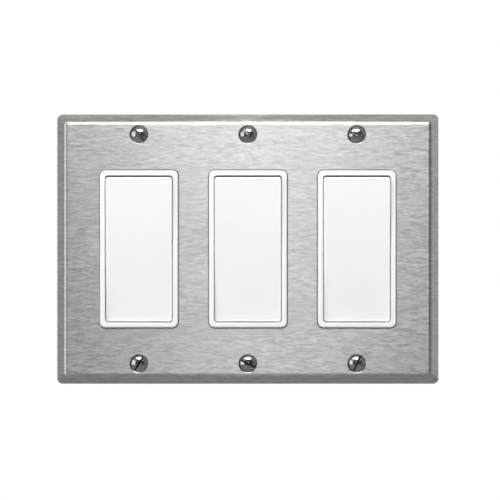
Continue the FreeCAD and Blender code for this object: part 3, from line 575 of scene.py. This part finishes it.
platedMetals = {
    # slot: name, darker and lighter colour, least and most roughness, patches in a metre, bump
    "polished_nickel": ("polishedNickel", (0.25, 0.25, 0.245), (0.33, 0.33, 0.325), 0.09, 0.15, 260.0, 0.05),
    "spring_steel": ("springWire", (0.36, 0.36, 0.37), (0.50, 0.50, 0.52), 0.24, 0.34, 500.0, 0.2),
    "zinc_steel": ("zincPlatedStrap", (0.52, 0.54, 0.57), (0.66, 0.68, 0.70), 0.30, 0.42, 140.0, 0.25),
    "zinc_screw": ("zincPlatedScrew", (0.50, 0.52, 0.55), (0.66, 0.68, 0.70), 0.24, 0.34, 320.0, 0.2),
    "clamp_steel": ("plainSpringStrip", (0.42, 0.42, 0.42), (0.58, 0.58, 0.57), 0.28, 0.38, 260.0, 0.2),
    "rivet_steel": ("tinnedRivet", (0.56, 0.56, 0.57), (0.72, 0.72, 0.73), 0.28, 0.40, 300.0, 0.25),
    "bronze": ("rolledBronze", (0.50, 0.30, 0.15), (0.68, 0.46, 0.26), 0.24, 0.38, 200.0, 0.2),
    "brass": ("rolledBrass", (0.60, 0.42, 0.16), (0.76, 0.58, 0.27), 0.24, 0.36, 200.0, 0.2),
    "brass_screw": ("turnedBrass", (0.64, 0.45, 0.18), (0.80, 0.62, 0.30), 0.18, 0.28, 320.0, 0.15),
    "silver": ("contactSilver", (0.70, 0.70, 0.68), (0.86, 0.86, 0.84), 0.20, 0.32, 500.0, 0.2),
}
finishes = {
    "brushed_stainless": makeBrushedSteel(),
    "white_plastic": makeWhitePlastic(),
    "grey_housing": makeHousingPlastic(),
    "acetal": makeWhitePlastic("naturalAcetal", warmth=0.06),
    "green_screw": makeGreenDye(),
}
for slot, look in platedMetals.items():
    finishes[slot] = makePlatedMetal(*look)
slotOf = {entry["node"]: entry["material_slot"] for entry in frame["record"]["subparts"]}
bodyOf = {node: body for body, nodes in frame["record"]["behaviour"]["bodies"].items() for node in nodes}


# modelling helpers: what is edited is picked by its place or its normal
def choose(piece):
    bpy.ops.object.select_all(action="DESELECT")
    piece.select_set(True)
    bpy.context.view_layer.objects.active = piece


def startEditing(piece):
    choose(piece)
    bpy.ops.object.mode_set(mode="EDIT")
    bpy.ops.mesh.select_mode(type="VERT")


def stopEditing():
    bpy.ops.object.mode_set(mode="OBJECT")


def middleOf(thing):
    if isinstance(thing, bmesh.types.BMVert):
        return thing.co
    if isinstance(thing, bmesh.types.BMEdge):
        return (thing.verts[0].co + thing.verts[1].co) / 2
    return thing.calc_center_median()


def pick(piece, kind, test):
    bpy.ops.mesh.select_mode(type=kind)
    bpy.ops.mesh.select_all(action="DESELECT")
    mesh = bmesh.from_edit_mesh(piece.data)
    things = {"VERT": mesh.verts, "EDGE": mesh.edges, "FACE": mesh.faces}[kind]
    for thing in [thing for thing in things if test(thing, middleOf(thing))]:
        thing.select_set(True)
    bmesh.update_edit_mesh(piece.data)


def near(value, wanted, reach=slack):
    return abs(value - wanted) < reach


def selectAll():
    bpy.ops.mesh.select_all(action="SELECT")


def edgeRuns(edge, axis):
    # true for an edge that runs along this axis
    way = edge.verts[1].co - edge.verts[0].co
    return abs(way[axis]) > 0.999 * way.length


def edgeAt(edge, depth):
    # true for an edge with both ends this far along Y
    return near(edge.verts[0].co.y, depth) and near(edge.verts[1].co.y, depth)


def cutHere(edge):
    # true where a forward face meets the wall of a cut
    return abs(edge.link_faces[0].normal.y - edge.link_faces[1].normal.y) > 0.5


def applyModifier(piece, kind, **settings):
    modifier = piece.modifiers.new(kind.lower(), kind)
    for key, value in settings.items():
        setattr(modifier, key, value)
    choose(piece)
    bpy.ops.object.modifier_apply(modifier=modifier.name)


def joinWith(piece, tool, operation="DIFFERENCE"):
    # the tool is spent: cut out of the piece, or made one with it
    applyModifier(piece, "BOOLEAN", operation=operation, object=tool, solver="EXACT")
    bpy.data.objects.remove(tool)


def softenEdges(piece, width, limit, clamp=True):
    applyModifier(piece, "BEVEL", width=width, segments=2, limit_method="ANGLE",
                  angle_limit=math.radians(limit), use_clamp_overlap=clamp, miter_outer="MITER_ARC")


def makeWhole(piece):
    # welds loose triangles and joins those that lie flat together
    startEditing(piece)
    selectAll()
    bpy.ops.mesh.remove_doubles(threshold=weldReach)
    bpy.ops.mesh.dissolve_limited(angle_limit=math.radians(flatLimit))
    stopEditing()


def settle(piece):
    # place, turn and size go into the mesh
    choose(piece)
    bpy.ops.object.transform_apply(location=True, rotation=True, scale=True)


def copyAt(piece, name, place, turn=0.0, axis="Y"):
    # a copy with its own mesh, turned about the row's axis and moved
    twin = piece.copy()
    twin.data = piece.data.copy()
    twin.name = name
    bpy.context.scene.collection.objects.link(twin)
    twin.matrix_world = Matrix.Translation(place) @ Matrix.Rotation(turn, 4, axis)
    settle(twin)
    return twin


def gather(name, pieces):
    # several loose solids of one node as one object
    bpy.ops.object.select_all(action="DESELECT")
    for piece in pieces:
        piece.select_set(True)
    bpy.context.view_layer.objects.active = pieces[0]
    bpy.ops.object.join()
    pieces[0].name = name
    return pieces[0]


def fit(piece, node, limit):
    # the finished piece takes over from its CAD node, its large faces shaded flat
    piece.data.materials.clear()
    piece.data.materials.append(finishes[slotOf[node]])
    choose(piece)
    bpy.ops.object.shade_smooth_by_angle(angle=math.radians(limit))
    applyModifier(piece, "WEIGHTED_NORMAL", mode="FACE_AREA", weight=50, keep_sharp=True)
    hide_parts(node)
    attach(piece, bodyOf[node])


def addBlock(low, high, name="block"):
    low, high = Vector(low), Vector(high)
    bpy.ops.mesh.primitive_cube_add(size=1, location=(low + high) / 2)
    piece = bpy.context.object
    piece.name = name
    piece.scale = high - low
    settle(piece)
    return piece


def addRoundedBlock(low, high, corner, steps, name):
    # a block whose four edges along Y are rounded
    piece = addBlock(low, high, name)
    startEditing(piece)
    pick(piece, "EDGE", lambda edge, at: edgeRuns(edge, 1))
    bpy.ops.mesh.bevel(offset=corner, segments=steps, affect="EDGES")
    stopEditing()
    return piece


def addRod(radius, start, end, steps=40):
    start, end = Vector(start), Vector(end)
    way = end - start
    turn = way.to_track_quat("Z", "Y").to_euler()
    bpy.ops.mesh.primitive_cylinder_add(vertices=steps, radius=radius, depth=way.length,
                                        location=(start + end) / 2, rotation=turn)
    piece = bpy.context.object
    piece.name = "rod"
    settle(piece)
    return piece


def drawOutline(name, outline):
    # one vertex drawn out point by point in the plane of X and Y
    bpy.ops.mesh.primitive_plane_add(size=mm)
    piece = bpy.context.object
    piece.name = name
    startEditing(piece)
    selectAll()
    bpy.ops.mesh.merge(type="CENTER")
    bpy.ops.transform.translate(value=(outline[0][0], outline[0][1], 0))
    for (x0, y0), (x1, y1) in zip(outline, outline[1:]):
        bpy.ops.mesh.extrude_vertices_move(TRANSFORM_OT_translate={"value": (x1 - x0, y1 - y0, 0)})
    return piece


def turnOutline(name, outline, steps):
    # a turned solid: the outline starts and ends on the Y axis
    piece = drawOutline(name, outline)
    selectAll()
    bpy.ops.mesh.spin(steps=steps, angle=math.tau, center=(0, 0, 0), axis=(0, 1, 0))
    selectAll()
    bpy.ops.mesh.remove_doubles(threshold=weldReach)
    bpy.ops.mesh.normals_make_consistent(inside=False)
    stopEditing()
    return piece


def arcPoints(centre, radius, fromAngle, toAngle, steps):
    # angles in degrees from the X axis towards Y
    points = []
    for k in range(steps + 1):
        angle = math.radians(fromAngle + (toAngle - fromAngle) * k / steps)
        points.append((centre[0] + radius * math.cos(angle), centre[1] + radius * math.sin(angle)))
    return points


def rollThread(name, major, minor, pitch, startY, endY, taper=0.6 * mm, steps=24):
    # one pitch of the thread's side view, wound up the Y axis, then cut square at both ends
    turns = math.ceil((endY - startY) / pitch) + 2
    profile = [(minor, 0), (minor, 0.12), (major, 0.46), (major, 0.54), (minor, 0.88), (minor, 1)]
    base = startY - pitch
    piece = drawOutline(name, [(radius, base + share * pitch) for radius, share in profile])
    stopEditing()
    applyModifier(piece, "SCREW", axis="Y", angle=math.tau, screw_offset=pitch, iterations=turns,
                  steps=steps, render_steps=steps, use_merge_vertices=True, merge_threshold=weldReach,
                  use_normal_calculate=True)
    startEditing(piece)
    selectAll()
    bpy.ops.mesh.remove_doubles(threshold=10 * weldReach)
    for height, way in ((startY, -1), (endY, 1)):
        selectAll()
        bpy.ops.mesh.bisect(plane_co=(0, height, 0), plane_no=(0, way, 0), use_fill=True, clear_outer=True,
                            threshold=weldReach)
    # the last turns narrow to a blunt point
    for share in (1.0, 0.5):
        pick(piece, "VERT", lambda vert, at: at.y > endY - taper * share)
        bpy.ops.transform.resize(value=(0.9, 1, 0.9), center_override=(0, endY, 0))
    selectAll()
    bpy.ops.mesh.normals_make_consistent(inside=False)
    stopEditing()
    return piece


# the stamped plate: one sheet drawn over, thickened, punched and dimpled
plateShape = {
    "sheet": 0.9 * mm,
    "lip": 0.9 * mm,
    "bevelRun": 3.6 * mm,
    "faceRound": 1.5 * mm,
    "rimRound": 2.4 * mm,
    "bendReach": 1.087 * mm,
    "bendSteps": 8,
    "opening": (33.3 * mm, 66.8 * mm),
    "openingRound": 2.5 * mm,
    "screwSpacing": 96.84 * mm,
    "sink": 3.75 * mm,
    "hole": 2.1 * mm,
    "sinkSlope": 41,
    # the dished edge of a countersink: how far out of it, and how far behind the face, in mm
    "dish": ((0.8, -1), (0.4, -0.01), (0.24, 0.03), (0.08, 0.12), (-0.06, 0.28)),
    "dimpleWall": 0.9 * mm,
    "kneeRound": 0.35 * mm,
    "cutEdge": 0.1 * mm,
    "rollOver": 0.35 * mm,
}


def drawSheet(shape):
    # face, bevel and lip as one open skin
    faceX, faceZ = halfPlateX - shape["bevelRun"], halfPlateZ - shape["bevelRun"]
    kneeY = -shape["lip"]
    bpy.ops.mesh.primitive_plane_add(size=2, location=(0, plateFaceY, 0), rotation=(math.pi / 2, 0, 0))
    plate = bpy.context.object
    plate.name = "wallPlate"
    plate.scale = (faceX, faceZ, 1)
    settle(plate)
    startEditing(plate)
    selectAll()
    bpy.ops.mesh.bevel(offset=shape["faceRound"], segments=8, affect="VERTICES")
    pick(plate, "EDGE", lambda edge, at: edge.is_boundary)
    bpy.ops.mesh.extrude_edges_move(TRANSFORM_OT_translate={"value": (0, kneeY - plateFaceY, 0)})
    grow = Vector((halfPlateX / faceX, 1, halfPlateZ / faceZ))
    bpy.ops.transform.resize(value=grow, center_override=(0, 0, 0))
    cornerX, cornerZ = shape["faceRound"] * grow.x, shape["faceRound"] * grow.z
    for handX in (1, -1):
        for handZ in (1, -1):
            tip = (handX * halfPlateX, kneeY, handZ * halfPlateZ)
            pick(plate, "VERT", lambda vert, at: near(at.y, kneeY) and near(at.x, tip[0], cornerX + slack)
                 and near(at.z, tip[2], cornerZ + slack))
            wider = (shape["rimRound"] / cornerX, 1, shape["rimRound"] / cornerZ)
            bpy.ops.transform.resize(value=wider, center_override=tip)
    pick(plate, "EDGE", lambda edge, at: edge.is_boundary)
    bpy.ops.mesh.extrude_edges_move(TRANSFORM_OT_translate={"value": (0, shape["lip"], 0)})
    # the bend between face and bevel, and the soft knee above the lip
    pick(plate, "EDGE", lambda edge, at: edgeAt(edge, plateFaceY))
    bpy.ops.mesh.bevel(offset=shape["bendReach"], segments=shape["bendSteps"], affect="EDGES")
    pick(plate, "EDGE", lambda edge, at: edgeAt(edge, kneeY))
    bpy.ops.mesh.bevel(offset=shape["kneeRound"], segments=3, affect="EDGES")
    stopEditing()
    applyModifier(plate, "SOLIDIFY", thickness=shape["sheet"], offset=-1, use_even_offset=True,
                  use_quality_normals=True)
    return plate


def makeDimpleTools(shape):
    # the metal pushed back round a screw hole, and the countersink pressed into it
    sink, hole = shape["sink"], shape["hole"]
    depth = (sink - hole) / math.tan(math.radians(shape["sinkSlope"]))
    startY, endY = plateFaceY + shape["sheet"] / 2, plateFaceY + depth + 0.5 * mm
    wall = shape["dimpleWall"]
    bump = turnOutline("dimple", [
        (0, startY),
        (sink + 0.9 * mm, startY),
        (hole + wall + 0.2 * mm, endY - 0.15 * mm),
        (hole + wall, endY),
        (0, endY),
    ], 64)
    dish = [(sink + out * mm, plateFaceY + behind * mm) for out, behind in shape["dish"]]
    cut = turnOutline("countersink", [(0, plateFaceY - overlap)] + dish + [
        (hole + 0.1 * mm, plateFaceY + depth - 0.1 * mm),
        (hole, plateFaceY + depth + 0.05 * mm),
        (hole, endY + overlap),
        (0, endY + overlap),
    ], 64)
    return bump, cut


def rollOver(plate, shape):
    # the punch draws the front edges of the openings inwards
    reach = shape["opening"][1] / 2 + slack
    startEditing(plate)
    pick(plate, "EDGE", lambda edge, at: edgeAt(edge, plateFaceY) and abs(at.z) < reach and cutHere(edge))
    bpy.ops.mesh.bevel(offset=shape["rollOver"], segments=3, affect="EDGES")
    stopEditing()


def makeWallPlate():
    shape = plateShape
    plate = drawSheet(shape)
    applyModifier(plate, "TRIANGULATE")
    wide, tall = shape["opening"]
    bump, cut = makeDimpleTools(shape)
    punches, bumps, cuts = [], [], []
    for gang in gangs:
        low = (gangX[gang] - wide / 2, plateFaceY - overlap, -tall / 2)
        high = (gangX[gang] + wide / 2, overlap, tall / 2)
        punches.append(addRoundedBlock(low, high, shape["openingRound"], 8, "punch"))
        for side in (1, -1):
            place = Vector((gangX[gang], 0, side * shape["screwSpacing"] / 2))
            bumps.append(copyAt(bump, "dimple", place))
            cuts.append(copyAt(cut, "countersink", place))
    bpy.data.objects.remove(bump)
    bpy.data.objects.remove(cut)
    joinWith(plate, gather("punches", punches))
    joinWith(plate, gather("dimples", bumps), "UNION")
    joinWith(plate, gather("countersinks", cuts))
    makeWhole(plate)
    rollOver(plate, shape)
    softenEdges(plate, shape["cutEdge"], 60)
    fit(plate, "wall_plate", 28)


makeWallPlate()
print("wall plate is made")


# the white frame that fills each opening of the plate
frameShape = {
    "half": (16.5 * mm, 33.2 * mm),
    "corner": 2.3 * mm,
    "faceEdge": 0.7 * mm,
    "flangeThick": 1.3 * mm,
    "window": (14.35 * mm, 31.07 * mm),
    "windowCorner": 1.4 * mm,
    "windowEdge": 0.3 * mm,
    "pivotBore": 1.25 * mm,
    "pivotEnd": 15.65 * mm,
    "rivetBore": 1.25 * mm,
    "rivetAt": (11.6 * mm, 35.1 * mm),
}


def makeFrontFrame():
    shape = frameShape
    low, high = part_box("front_frame_middle")
    halfX, halfZ = shape["half"]
    windowX, windowZ = shape["window"]
    seatY = high.y - shape["flangeThick"]
    piece = addRoundedBlock((-halfX, low.y, -halfZ), (halfX, seatY, halfZ), shape["corner"], 8, "frontFrame")
    startEditing(piece)
    # the flange grows out of the back
    pick(piece, "FACE", lambda face, at: face.normal.y > 0.99)
    bpy.ops.mesh.extrude_region_move()
    bpy.ops.transform.resize(value=(high.x / halfX, 1, high.z / halfZ), center_override=(0, seatY, 0))
    bpy.ops.mesh.extrude_region_move(TRANSFORM_OT_translate={"value": (0, shape["flangeThick"], 0)})
    pick(piece, "EDGE", lambda edge, at: edgeAt(edge, low.y))
    bpy.ops.mesh.bevel(offset=shape["faceEdge"], segments=5, affect="EDGES")
    stopEditing()
    front, back = low.y - overlap, high.y + overlap
    joinWith(piece, addRoundedBlock((-windowX, front, -windowZ), (windowX, back, windowZ),
                                    shape["windowCorner"], 6, "window"))
    rivetX, rivetZ = shape["rivetAt"]
    axleY = pivotY["middle"]
    for hand in (1, -1):
        joinWith(piece, addRod(shape["pivotBore"], (0, axleY, 0), (hand * shape["pivotEnd"], axleY, 0)))
        for side in (1, -1):
            start = (hand * rivetX, low.y, side * rivetZ)
            joinWith(piece, addRod(shape["rivetBore"], start, (start[0], back, start[2]), 24))
    startEditing(piece)
    pick(piece, "EDGE", lambda edge, at: edgeAt(edge, low.y) and abs(at.x) < windowX + slack
         and abs(at.z) < windowZ + slack and cutHere(edge))
    bpy.ops.mesh.bevel(offset=shape["windowEdge"], segments=3, affect="EDGES")
    stopEditing()
    for gang in gangs:
        fit(copyAt(piece, "frontFrame_" + gang, Vector((gangX[gang], 0, 0))), "front_frame_" + gang, 30)
    bpy.data.objects.remove(piece)


makeFrontFrame()
print("front frames are made")


# the paddle, built level about its pivot and then leaned back to OFF
rockerShape = {
    "half": (14.05 * mm, 30.56 * mm),
    "corner": 1.2 * mm,
    "face": 3.4 * mm,
    "skirt": 2.6 * mm,
    "skin": 1.7 * mm,
    "wall": 1.3 * mm,
    "faceEdge": 0.45 * mm,
    "hollowCorner": 0.6 * mm,
    "rib": 0.5 * mm,
    "ribPlaces": (-20 * mm, -10 * mm, 10 * mm, 20 * mm),
    "boss": 3.5 * mm,
    "bore": 2.4 * mm,
    "boreFloor": -1.2 * mm,
    "bossEnd": 9.0 * mm,
    "pin": 1.2 * mm,
    "pinEnd": 15.55 * mm,
    "ear": 1.75 * mm,
    "gussetFoot": 9.0 * mm,
    "gussetStart": 2.0 * mm,
    "gussetInset": 0.6 * mm,
    "gussetDrop": 2.5 * mm,
    "lap": 0.2 * mm,
}


def leanOf(gang):
    # half of the press, either side of level
    return math.radians(jointNamed(f"rocker_{gang}_press")["range_deg"][1] / 2)


def addGusset(shape, side):
    # a rib from the paddle's back up the side of the boss
    rib, skinBack = shape["rib"], -shape["face"] + shape["skin"]
    piece = addBlock((-rib, skinBack - shape["lap"] / 2, shape["gussetStart"]),
                     (rib, shape["bossEnd"] - shape["gussetDrop"], shape["gussetFoot"]), "gusset")
    startEditing(piece)
    pick(piece, "VERT", lambda vert, at: at.y > 0 and at.z > shape["boss"])
    bpy.ops.transform.translate(value=(0, 0, shape["boss"] - shape["gussetInset"] - shape["gussetFoot"]))
    stopEditing()
    if side < 0:
        piece.rotation_euler = (0, math.pi, 0)
        settle(piece)
    return piece


def makeRocker():
    shape = rockerShape
    halfX, halfZ = shape["half"]
    faceY, skinBack = -shape["face"], -shape["face"] + shape["skin"]
    skirtBack = -shape["face"] + shape["skirt"]
    wall, rib, lap = shape["wall"], shape["rib"], shape["lap"]
    innerX, innerZ = halfX - wall, halfZ - wall
    piece = addRoundedBlock((-halfX, faceY, -halfZ), (halfX, skirtBack, halfZ), shape["corner"], 6, "rocker")
    startEditing(piece)
    pick(piece, "EDGE", lambda edge, at: edgeAt(edge, faceY))
    bpy.ops.mesh.bevel(offset=shape["faceEdge"], segments=5, affect="EDGES")
    stopEditing()
    joinWith(piece, addRoundedBlock((-innerX, skinBack, -innerZ), (innerX, skirtBack + overlap, innerZ),
                                    shape["hollowCorner"], 4, "hollowShade"))
    # ribs across and one down the middle, each a little lower than the skirt
    for place in shape["ribPlaces"]:
        joinWith(piece, addBlock((-innerX - lap, skinBack - lap, place - rib),
                                 (innerX + lap, skirtBack - 0.02 * mm, place + rib)), "UNION")
    joinWith(piece, addBlock((-rib, skinBack - lap, -innerZ - lap),
                             (rib, skirtBack - 0.03 * mm, innerZ + lap)), "UNION")
    for hand in (1, -1):
        ear = addRod(shape["ear"], (hand * (innerX - 0.01 * mm), 0, 0), (hand * (halfX - 0.01 * mm), 0, 0))
        joinWith(piece, ear, "UNION")
        pin = addRod(shape["pin"], (hand * innerX, 0, 0), (hand * shape["pinEnd"], 0, 0), 32)
        joinWith(piece, pin, "UNION")
    joinWith(piece, addRod(shape["boss"], (0, skinBack - lap, 0), (0, shape["bossEnd"], 0), 48), "UNION")
    for side in (1, -1):
        joinWith(piece, addGusset(shape, side), "UNION")
    joinWith(piece, addRod(shape["bore"], (0, shape["boreFloor"], 0), (0, shape["bossEnd"] + overlap, 0), 48))
    for gang in gangs:
        place = Vector((gangX[gang], pivotY[gang], 0))
        fit(copyAt(piece, "rocker_" + gang + "_paddle", place, leanOf(gang), "X"), "rocker_" + gang, 30)
    bpy.data.objects.remove(piece)


makeRocker()
print("rockers are made")


# the slotted oval-head screws that hold the plate
plateScrewShape = {
    "head": 3.5 * mm,
    "dome": 1.35 * mm,
    "setDown": 0.265 * mm,
    "slope": 41,
    "thread": 1.7 * mm,
    "root": 1.32 * mm,
    "pitch": 0.794 * mm,
    "slotWide": 0.95 * mm,
    "slotDeep": 1.2 * mm,
    "brokenEdge": 0.05 * mm,
}
slotReach = 5 * mm          # half the length of the tool that cuts a slot
# how far each slot is turned, anticlockwise from the front, for the upper and lower rows
slotTurns = {"left": (130, 57), "middle": (124, 152), "right": (165, 65)}


def crownPoints(head, dome, edgeY, steps=9):
    # from the crown on the axis to the head's edge
    sphere = (head * head + dome * dome) / (2 * dome)
    reach = math.degrees(math.asin(head / sphere))
    points = arcPoints((0, edgeY - dome + sphere), sphere, -90, -90 + reach, steps)
    points[0] = (0, edgeY - dome)
    return points


def makePlateScrews():
    shape = plateScrewShape
    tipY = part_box("plate_screws")[1].y
    edgeY = plateFaceY + shape["setDown"]
    underY = edgeY + (shape["head"] - shape["thread"]) / math.tan(math.radians(shape["slope"]))
    neck, neckEnd = shape["root"] + 0.1 * mm, underY + 0.8 * mm
    screw = turnOutline("plateScrew", crownPoints(shape["head"] - 0.03 * mm, shape["dome"], edgeY) + [
        (shape["head"], edgeY + 0.05 * mm),
        (shape["thread"], underY),
        (neck, underY + 0.3 * mm),
        (neck, neckEnd),
        (0, neckEnd),
    ], 64)
    crownY = edgeY - shape["dome"]
    half = shape["slotWide"] / 2
    joinWith(screw, addBlock((-slotReach, crownY - overlap, -half),
                             (slotReach, crownY + shape["slotDeep"], half), "slot"))
    softenEdges(screw, shape["brokenEdge"], 50)
    threadY = underY + 0.45 * mm
    thread = rollThread("plateThread", shape["thread"], shape["root"], shape["pitch"], threadY, tipY)
    joinWith(screw, thread, "UNION")
    screws = []
    for gang in gangs:
        for turn, side in zip(slotTurns[gang], (1, -1)):
            place = Vector((gangX[gang], 0, side * plateShape["screwSpacing"] / 2))
            screws.append(copyAt(screw, "plateScrew", place, -math.radians(turn)))
    bpy.data.objects.remove(screw)
    fit(gather("plateScrews", screws), "plate_screws", 35)


makePlateScrews()
print("plate screws are made")


# the long screws into the wall box
boxScrewShape = {
    "head": 3.4 * mm,
    "crown": 1.1 * mm,
    "rim": 0.9 * mm,
    "shank": 1.5 * mm,
    "thread": 1.74 * mm,
    "root": 1.34 * mm,
    "pitch": 0.794 * mm,
    "threadStart": 1.6 * mm,
    "slotWide": 1.0 * mm,
    "slotDeep": 1.1 * mm,
    "brokenEdge": 0.06 * mm,
    "spacing": 83.34 * mm,
    "turns": (28, -16),
}


def makeBoxScrews():
    shape = boxScrewShape
    low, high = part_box("box_screws_middle")
    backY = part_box("screw_washers_middle")[0].y
    edgeY = backY - shape["rim"]
    shankEnd = shape["threadStart"] + 0.4 * mm
    screw = turnOutline("boxScrew", crownPoints(shape["head"], shape["crown"], edgeY, 6) + [
        (shape["head"], backY - 0.1 * mm),
        (shape["head"] - 0.1 * mm, backY),
        (shape["shank"], backY),
        (shape["shank"], shankEnd),
        (0, shankEnd),
    ], 48)
    half = shape["slotWide"] / 2
    joinWith(screw, addBlock((-slotReach, low.y - overlap, -half),
                             (slotReach, low.y + shape["slotDeep"], half), "slot"))
    softenEdges(screw, shape["brokenEdge"], 50)
    thread = rollThread("boxThread", shape["thread"], shape["root"], shape["pitch"],
                        shape["threadStart"], high.y)
    joinWith(screw, thread, "UNION")
    for gang in gangs:
        pair = []
        for side, turn in zip((1, -1), shape["turns"]):
            place = Vector((gangX[gang], 0, side * shape["spacing"] / 2))
            pair.append(copyAt(screw, "boxScrew", place, math.radians(turn)))
        fit(gather("boxScrews_" + gang, pair), "box_screws_" + gang, 35)
    bpy.data.objects.remove(screw)


makeBoxScrews()
print("box screws are made")


# the coil behind each plunger, wound once at one length and leaned with its paddle; the real coil shortens as
# the plunger goes in
springShape = {
    "wire": 0.22 * mm,
    "coil": 1.75 * mm,
    "start": -1.2 * mm,
    "end": 5.6 * mm,
    "turns": 6,
    "ease": 0.02 * mm,
}


def windSpring(shape):
    wire, ease = shape["wire"], shape["ease"]
    first = shape["start"] + wire + ease
    length = shape["end"] - shape["start"] - 2 * wire - 2 * ease
    bpy.ops.mesh.primitive_circle_add(vertices=12, radius=wire, location=(shape["coil"], first, 0))
    coil = bpy.context.object
    settle(coil)
    applyModifier(coil, "SCREW", axis="Y", angle=math.tau, screw_offset=length / shape["turns"],
                  iterations=shape["turns"], steps=28, render_steps=28)
    startEditing(coil)
    selectAll()
    bpy.ops.mesh.fill_holes(sides=0)
    selectAll()
    bpy.ops.mesh.normals_make_consistent(inside=False)
    stopEditing()
    return coil


def makeSprings():
    shape = springShape
    coil = windSpring(shape)
    for gang in gangs:
        lean = leanOf(gang)
        pivot = Vector((gangX[gang], pivotY[gang], 0))
        twin = copyAt(coil, "plungerSpring_" + gang, pivot, lean, "X")
        fit(twin, "plunger_spring_" + gang, 60)
        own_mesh(twin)
    bpy.data.objects.remove(coil)


makeSprings()
print("springs are wound")


# stamped and moulded pieces keep their CAD shape, with flat faces made whole and edges broken, in mm
brokenEdges = {
    "strap": 0.12,
    "screw_washers": 0.08,
    "rear_housing": 0.16,
    "load_terminal": 0.08,
    "line_terminal": 0.08,
    "contact_lever": 0.06,
    "terminal_screws": 0.07,
    "ground_screw": 0.07,
    "rivets": 0.06,
}


def linked(start, neighbours, seen):
    # everything that can be reached from the start, neighbour by neighbour
    found, waiting = [], [start]
    seen.add(start)
    while waiting:
        thing = waiting.pop()
        found.append(thing)
        for other in neighbours(thing):
            if other not in seen:
                seen.add(other)
                waiting.append(other)
    return found


def holeCuts(mesh):
    # square cuts through the middle of every hole in a flat area: axis, and place in hundredths of a mm
    flat = {edge for edge in mesh.edges if edge.calc_face_angle(math.pi) <= math.radians(flatLimit)}
    cuts, seenFaces = set(), set()

    def flatNeighbours(face):
        return [other for edge in face.edges if edge in flat for other in edge.link_faces]

    for first in mesh.faces:
        if first in seenFaces:
            continue
        area = linked(first, flatNeighbours, seenFaces)
        rim = dict.fromkeys(edge for face in area for edge in face.edges if edge not in flat)
        loops, seenEdges = [], set()

        def rimNeighbours(edge):
            return [other for vert in edge.verts for other in vert.link_edges if other in rim]

        for edge in rim:
            if edge not in seenEdges:
                loops.append(linked(edge, rimNeighbours, seenEdges))
        # the longest loop is the outline, and the others are holes
        axis = 0 if abs(first.normal.z) > 0.7 else 2
        for loop in sorted(loops, key=lambda loop: sum(edge.calc_length() for edge in loop))[:-1]:
            places = [vert.co[axis] for edge in loop for vert in edge.verts]
            cuts.add((axis, round((min(places) + max(places)) / 2 / mm * 100)))
    return sorted(cuts)


def cutAcrossHoles(piece):
    # no flat face may close round a hole, so each is cut there, along seams that stay
    startEditing(piece)
    selectAll()
    bpy.ops.mesh.remove_doubles(threshold=weldReach)
    for axis, place in holeCuts(bmesh.from_edit_mesh(piece.data)):
        direction = Vector((0, 0, 0))
        direction[axis] = 1
        selectAll()
        bpy.ops.mesh.bisect(plane_co=direction * (place * mm / 100), plane_no=direction,
                            threshold=10 * weldReach)
        bpy.ops.mesh.mark_seam(clear=False)
    selectAll()
    bpy.ops.mesh.dissolve_limited(angle_limit=math.radians(flatLimit), delimit={"SEAM"})
    stopEditing()


def refine(node, width):
    source = frame["nodes"][node]
    twin = source.copy()
    twin.data = source.data.copy()
    twin.parent = None
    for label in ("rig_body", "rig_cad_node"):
        del twin[label]
    words = node.split("_")
    twin.name = words[0] + "".join(word.capitalize() for word in words[1:-1]) + "Body_" + words[-1]
    bpy.context.scene.collection.objects.link(twin)
    cutAcrossHoles(twin)
    softenEdges(twin, width * mm, 38, clamp=False)
    fit(twin, node, 30)


for base, width in brokenEdges.items():
    for gang in gangs:
        refine(base + "_" + gang, width)
print("stamped and moulded pieces are refined")


for node, part in frame["nodes"].items():
    part.data.materials.clear()
    part.data.materials.append(finishes[slotOf[node]])
print("materials are on the carried-over nodes")

bpy.ops.object.select_all(action="DESELECT")
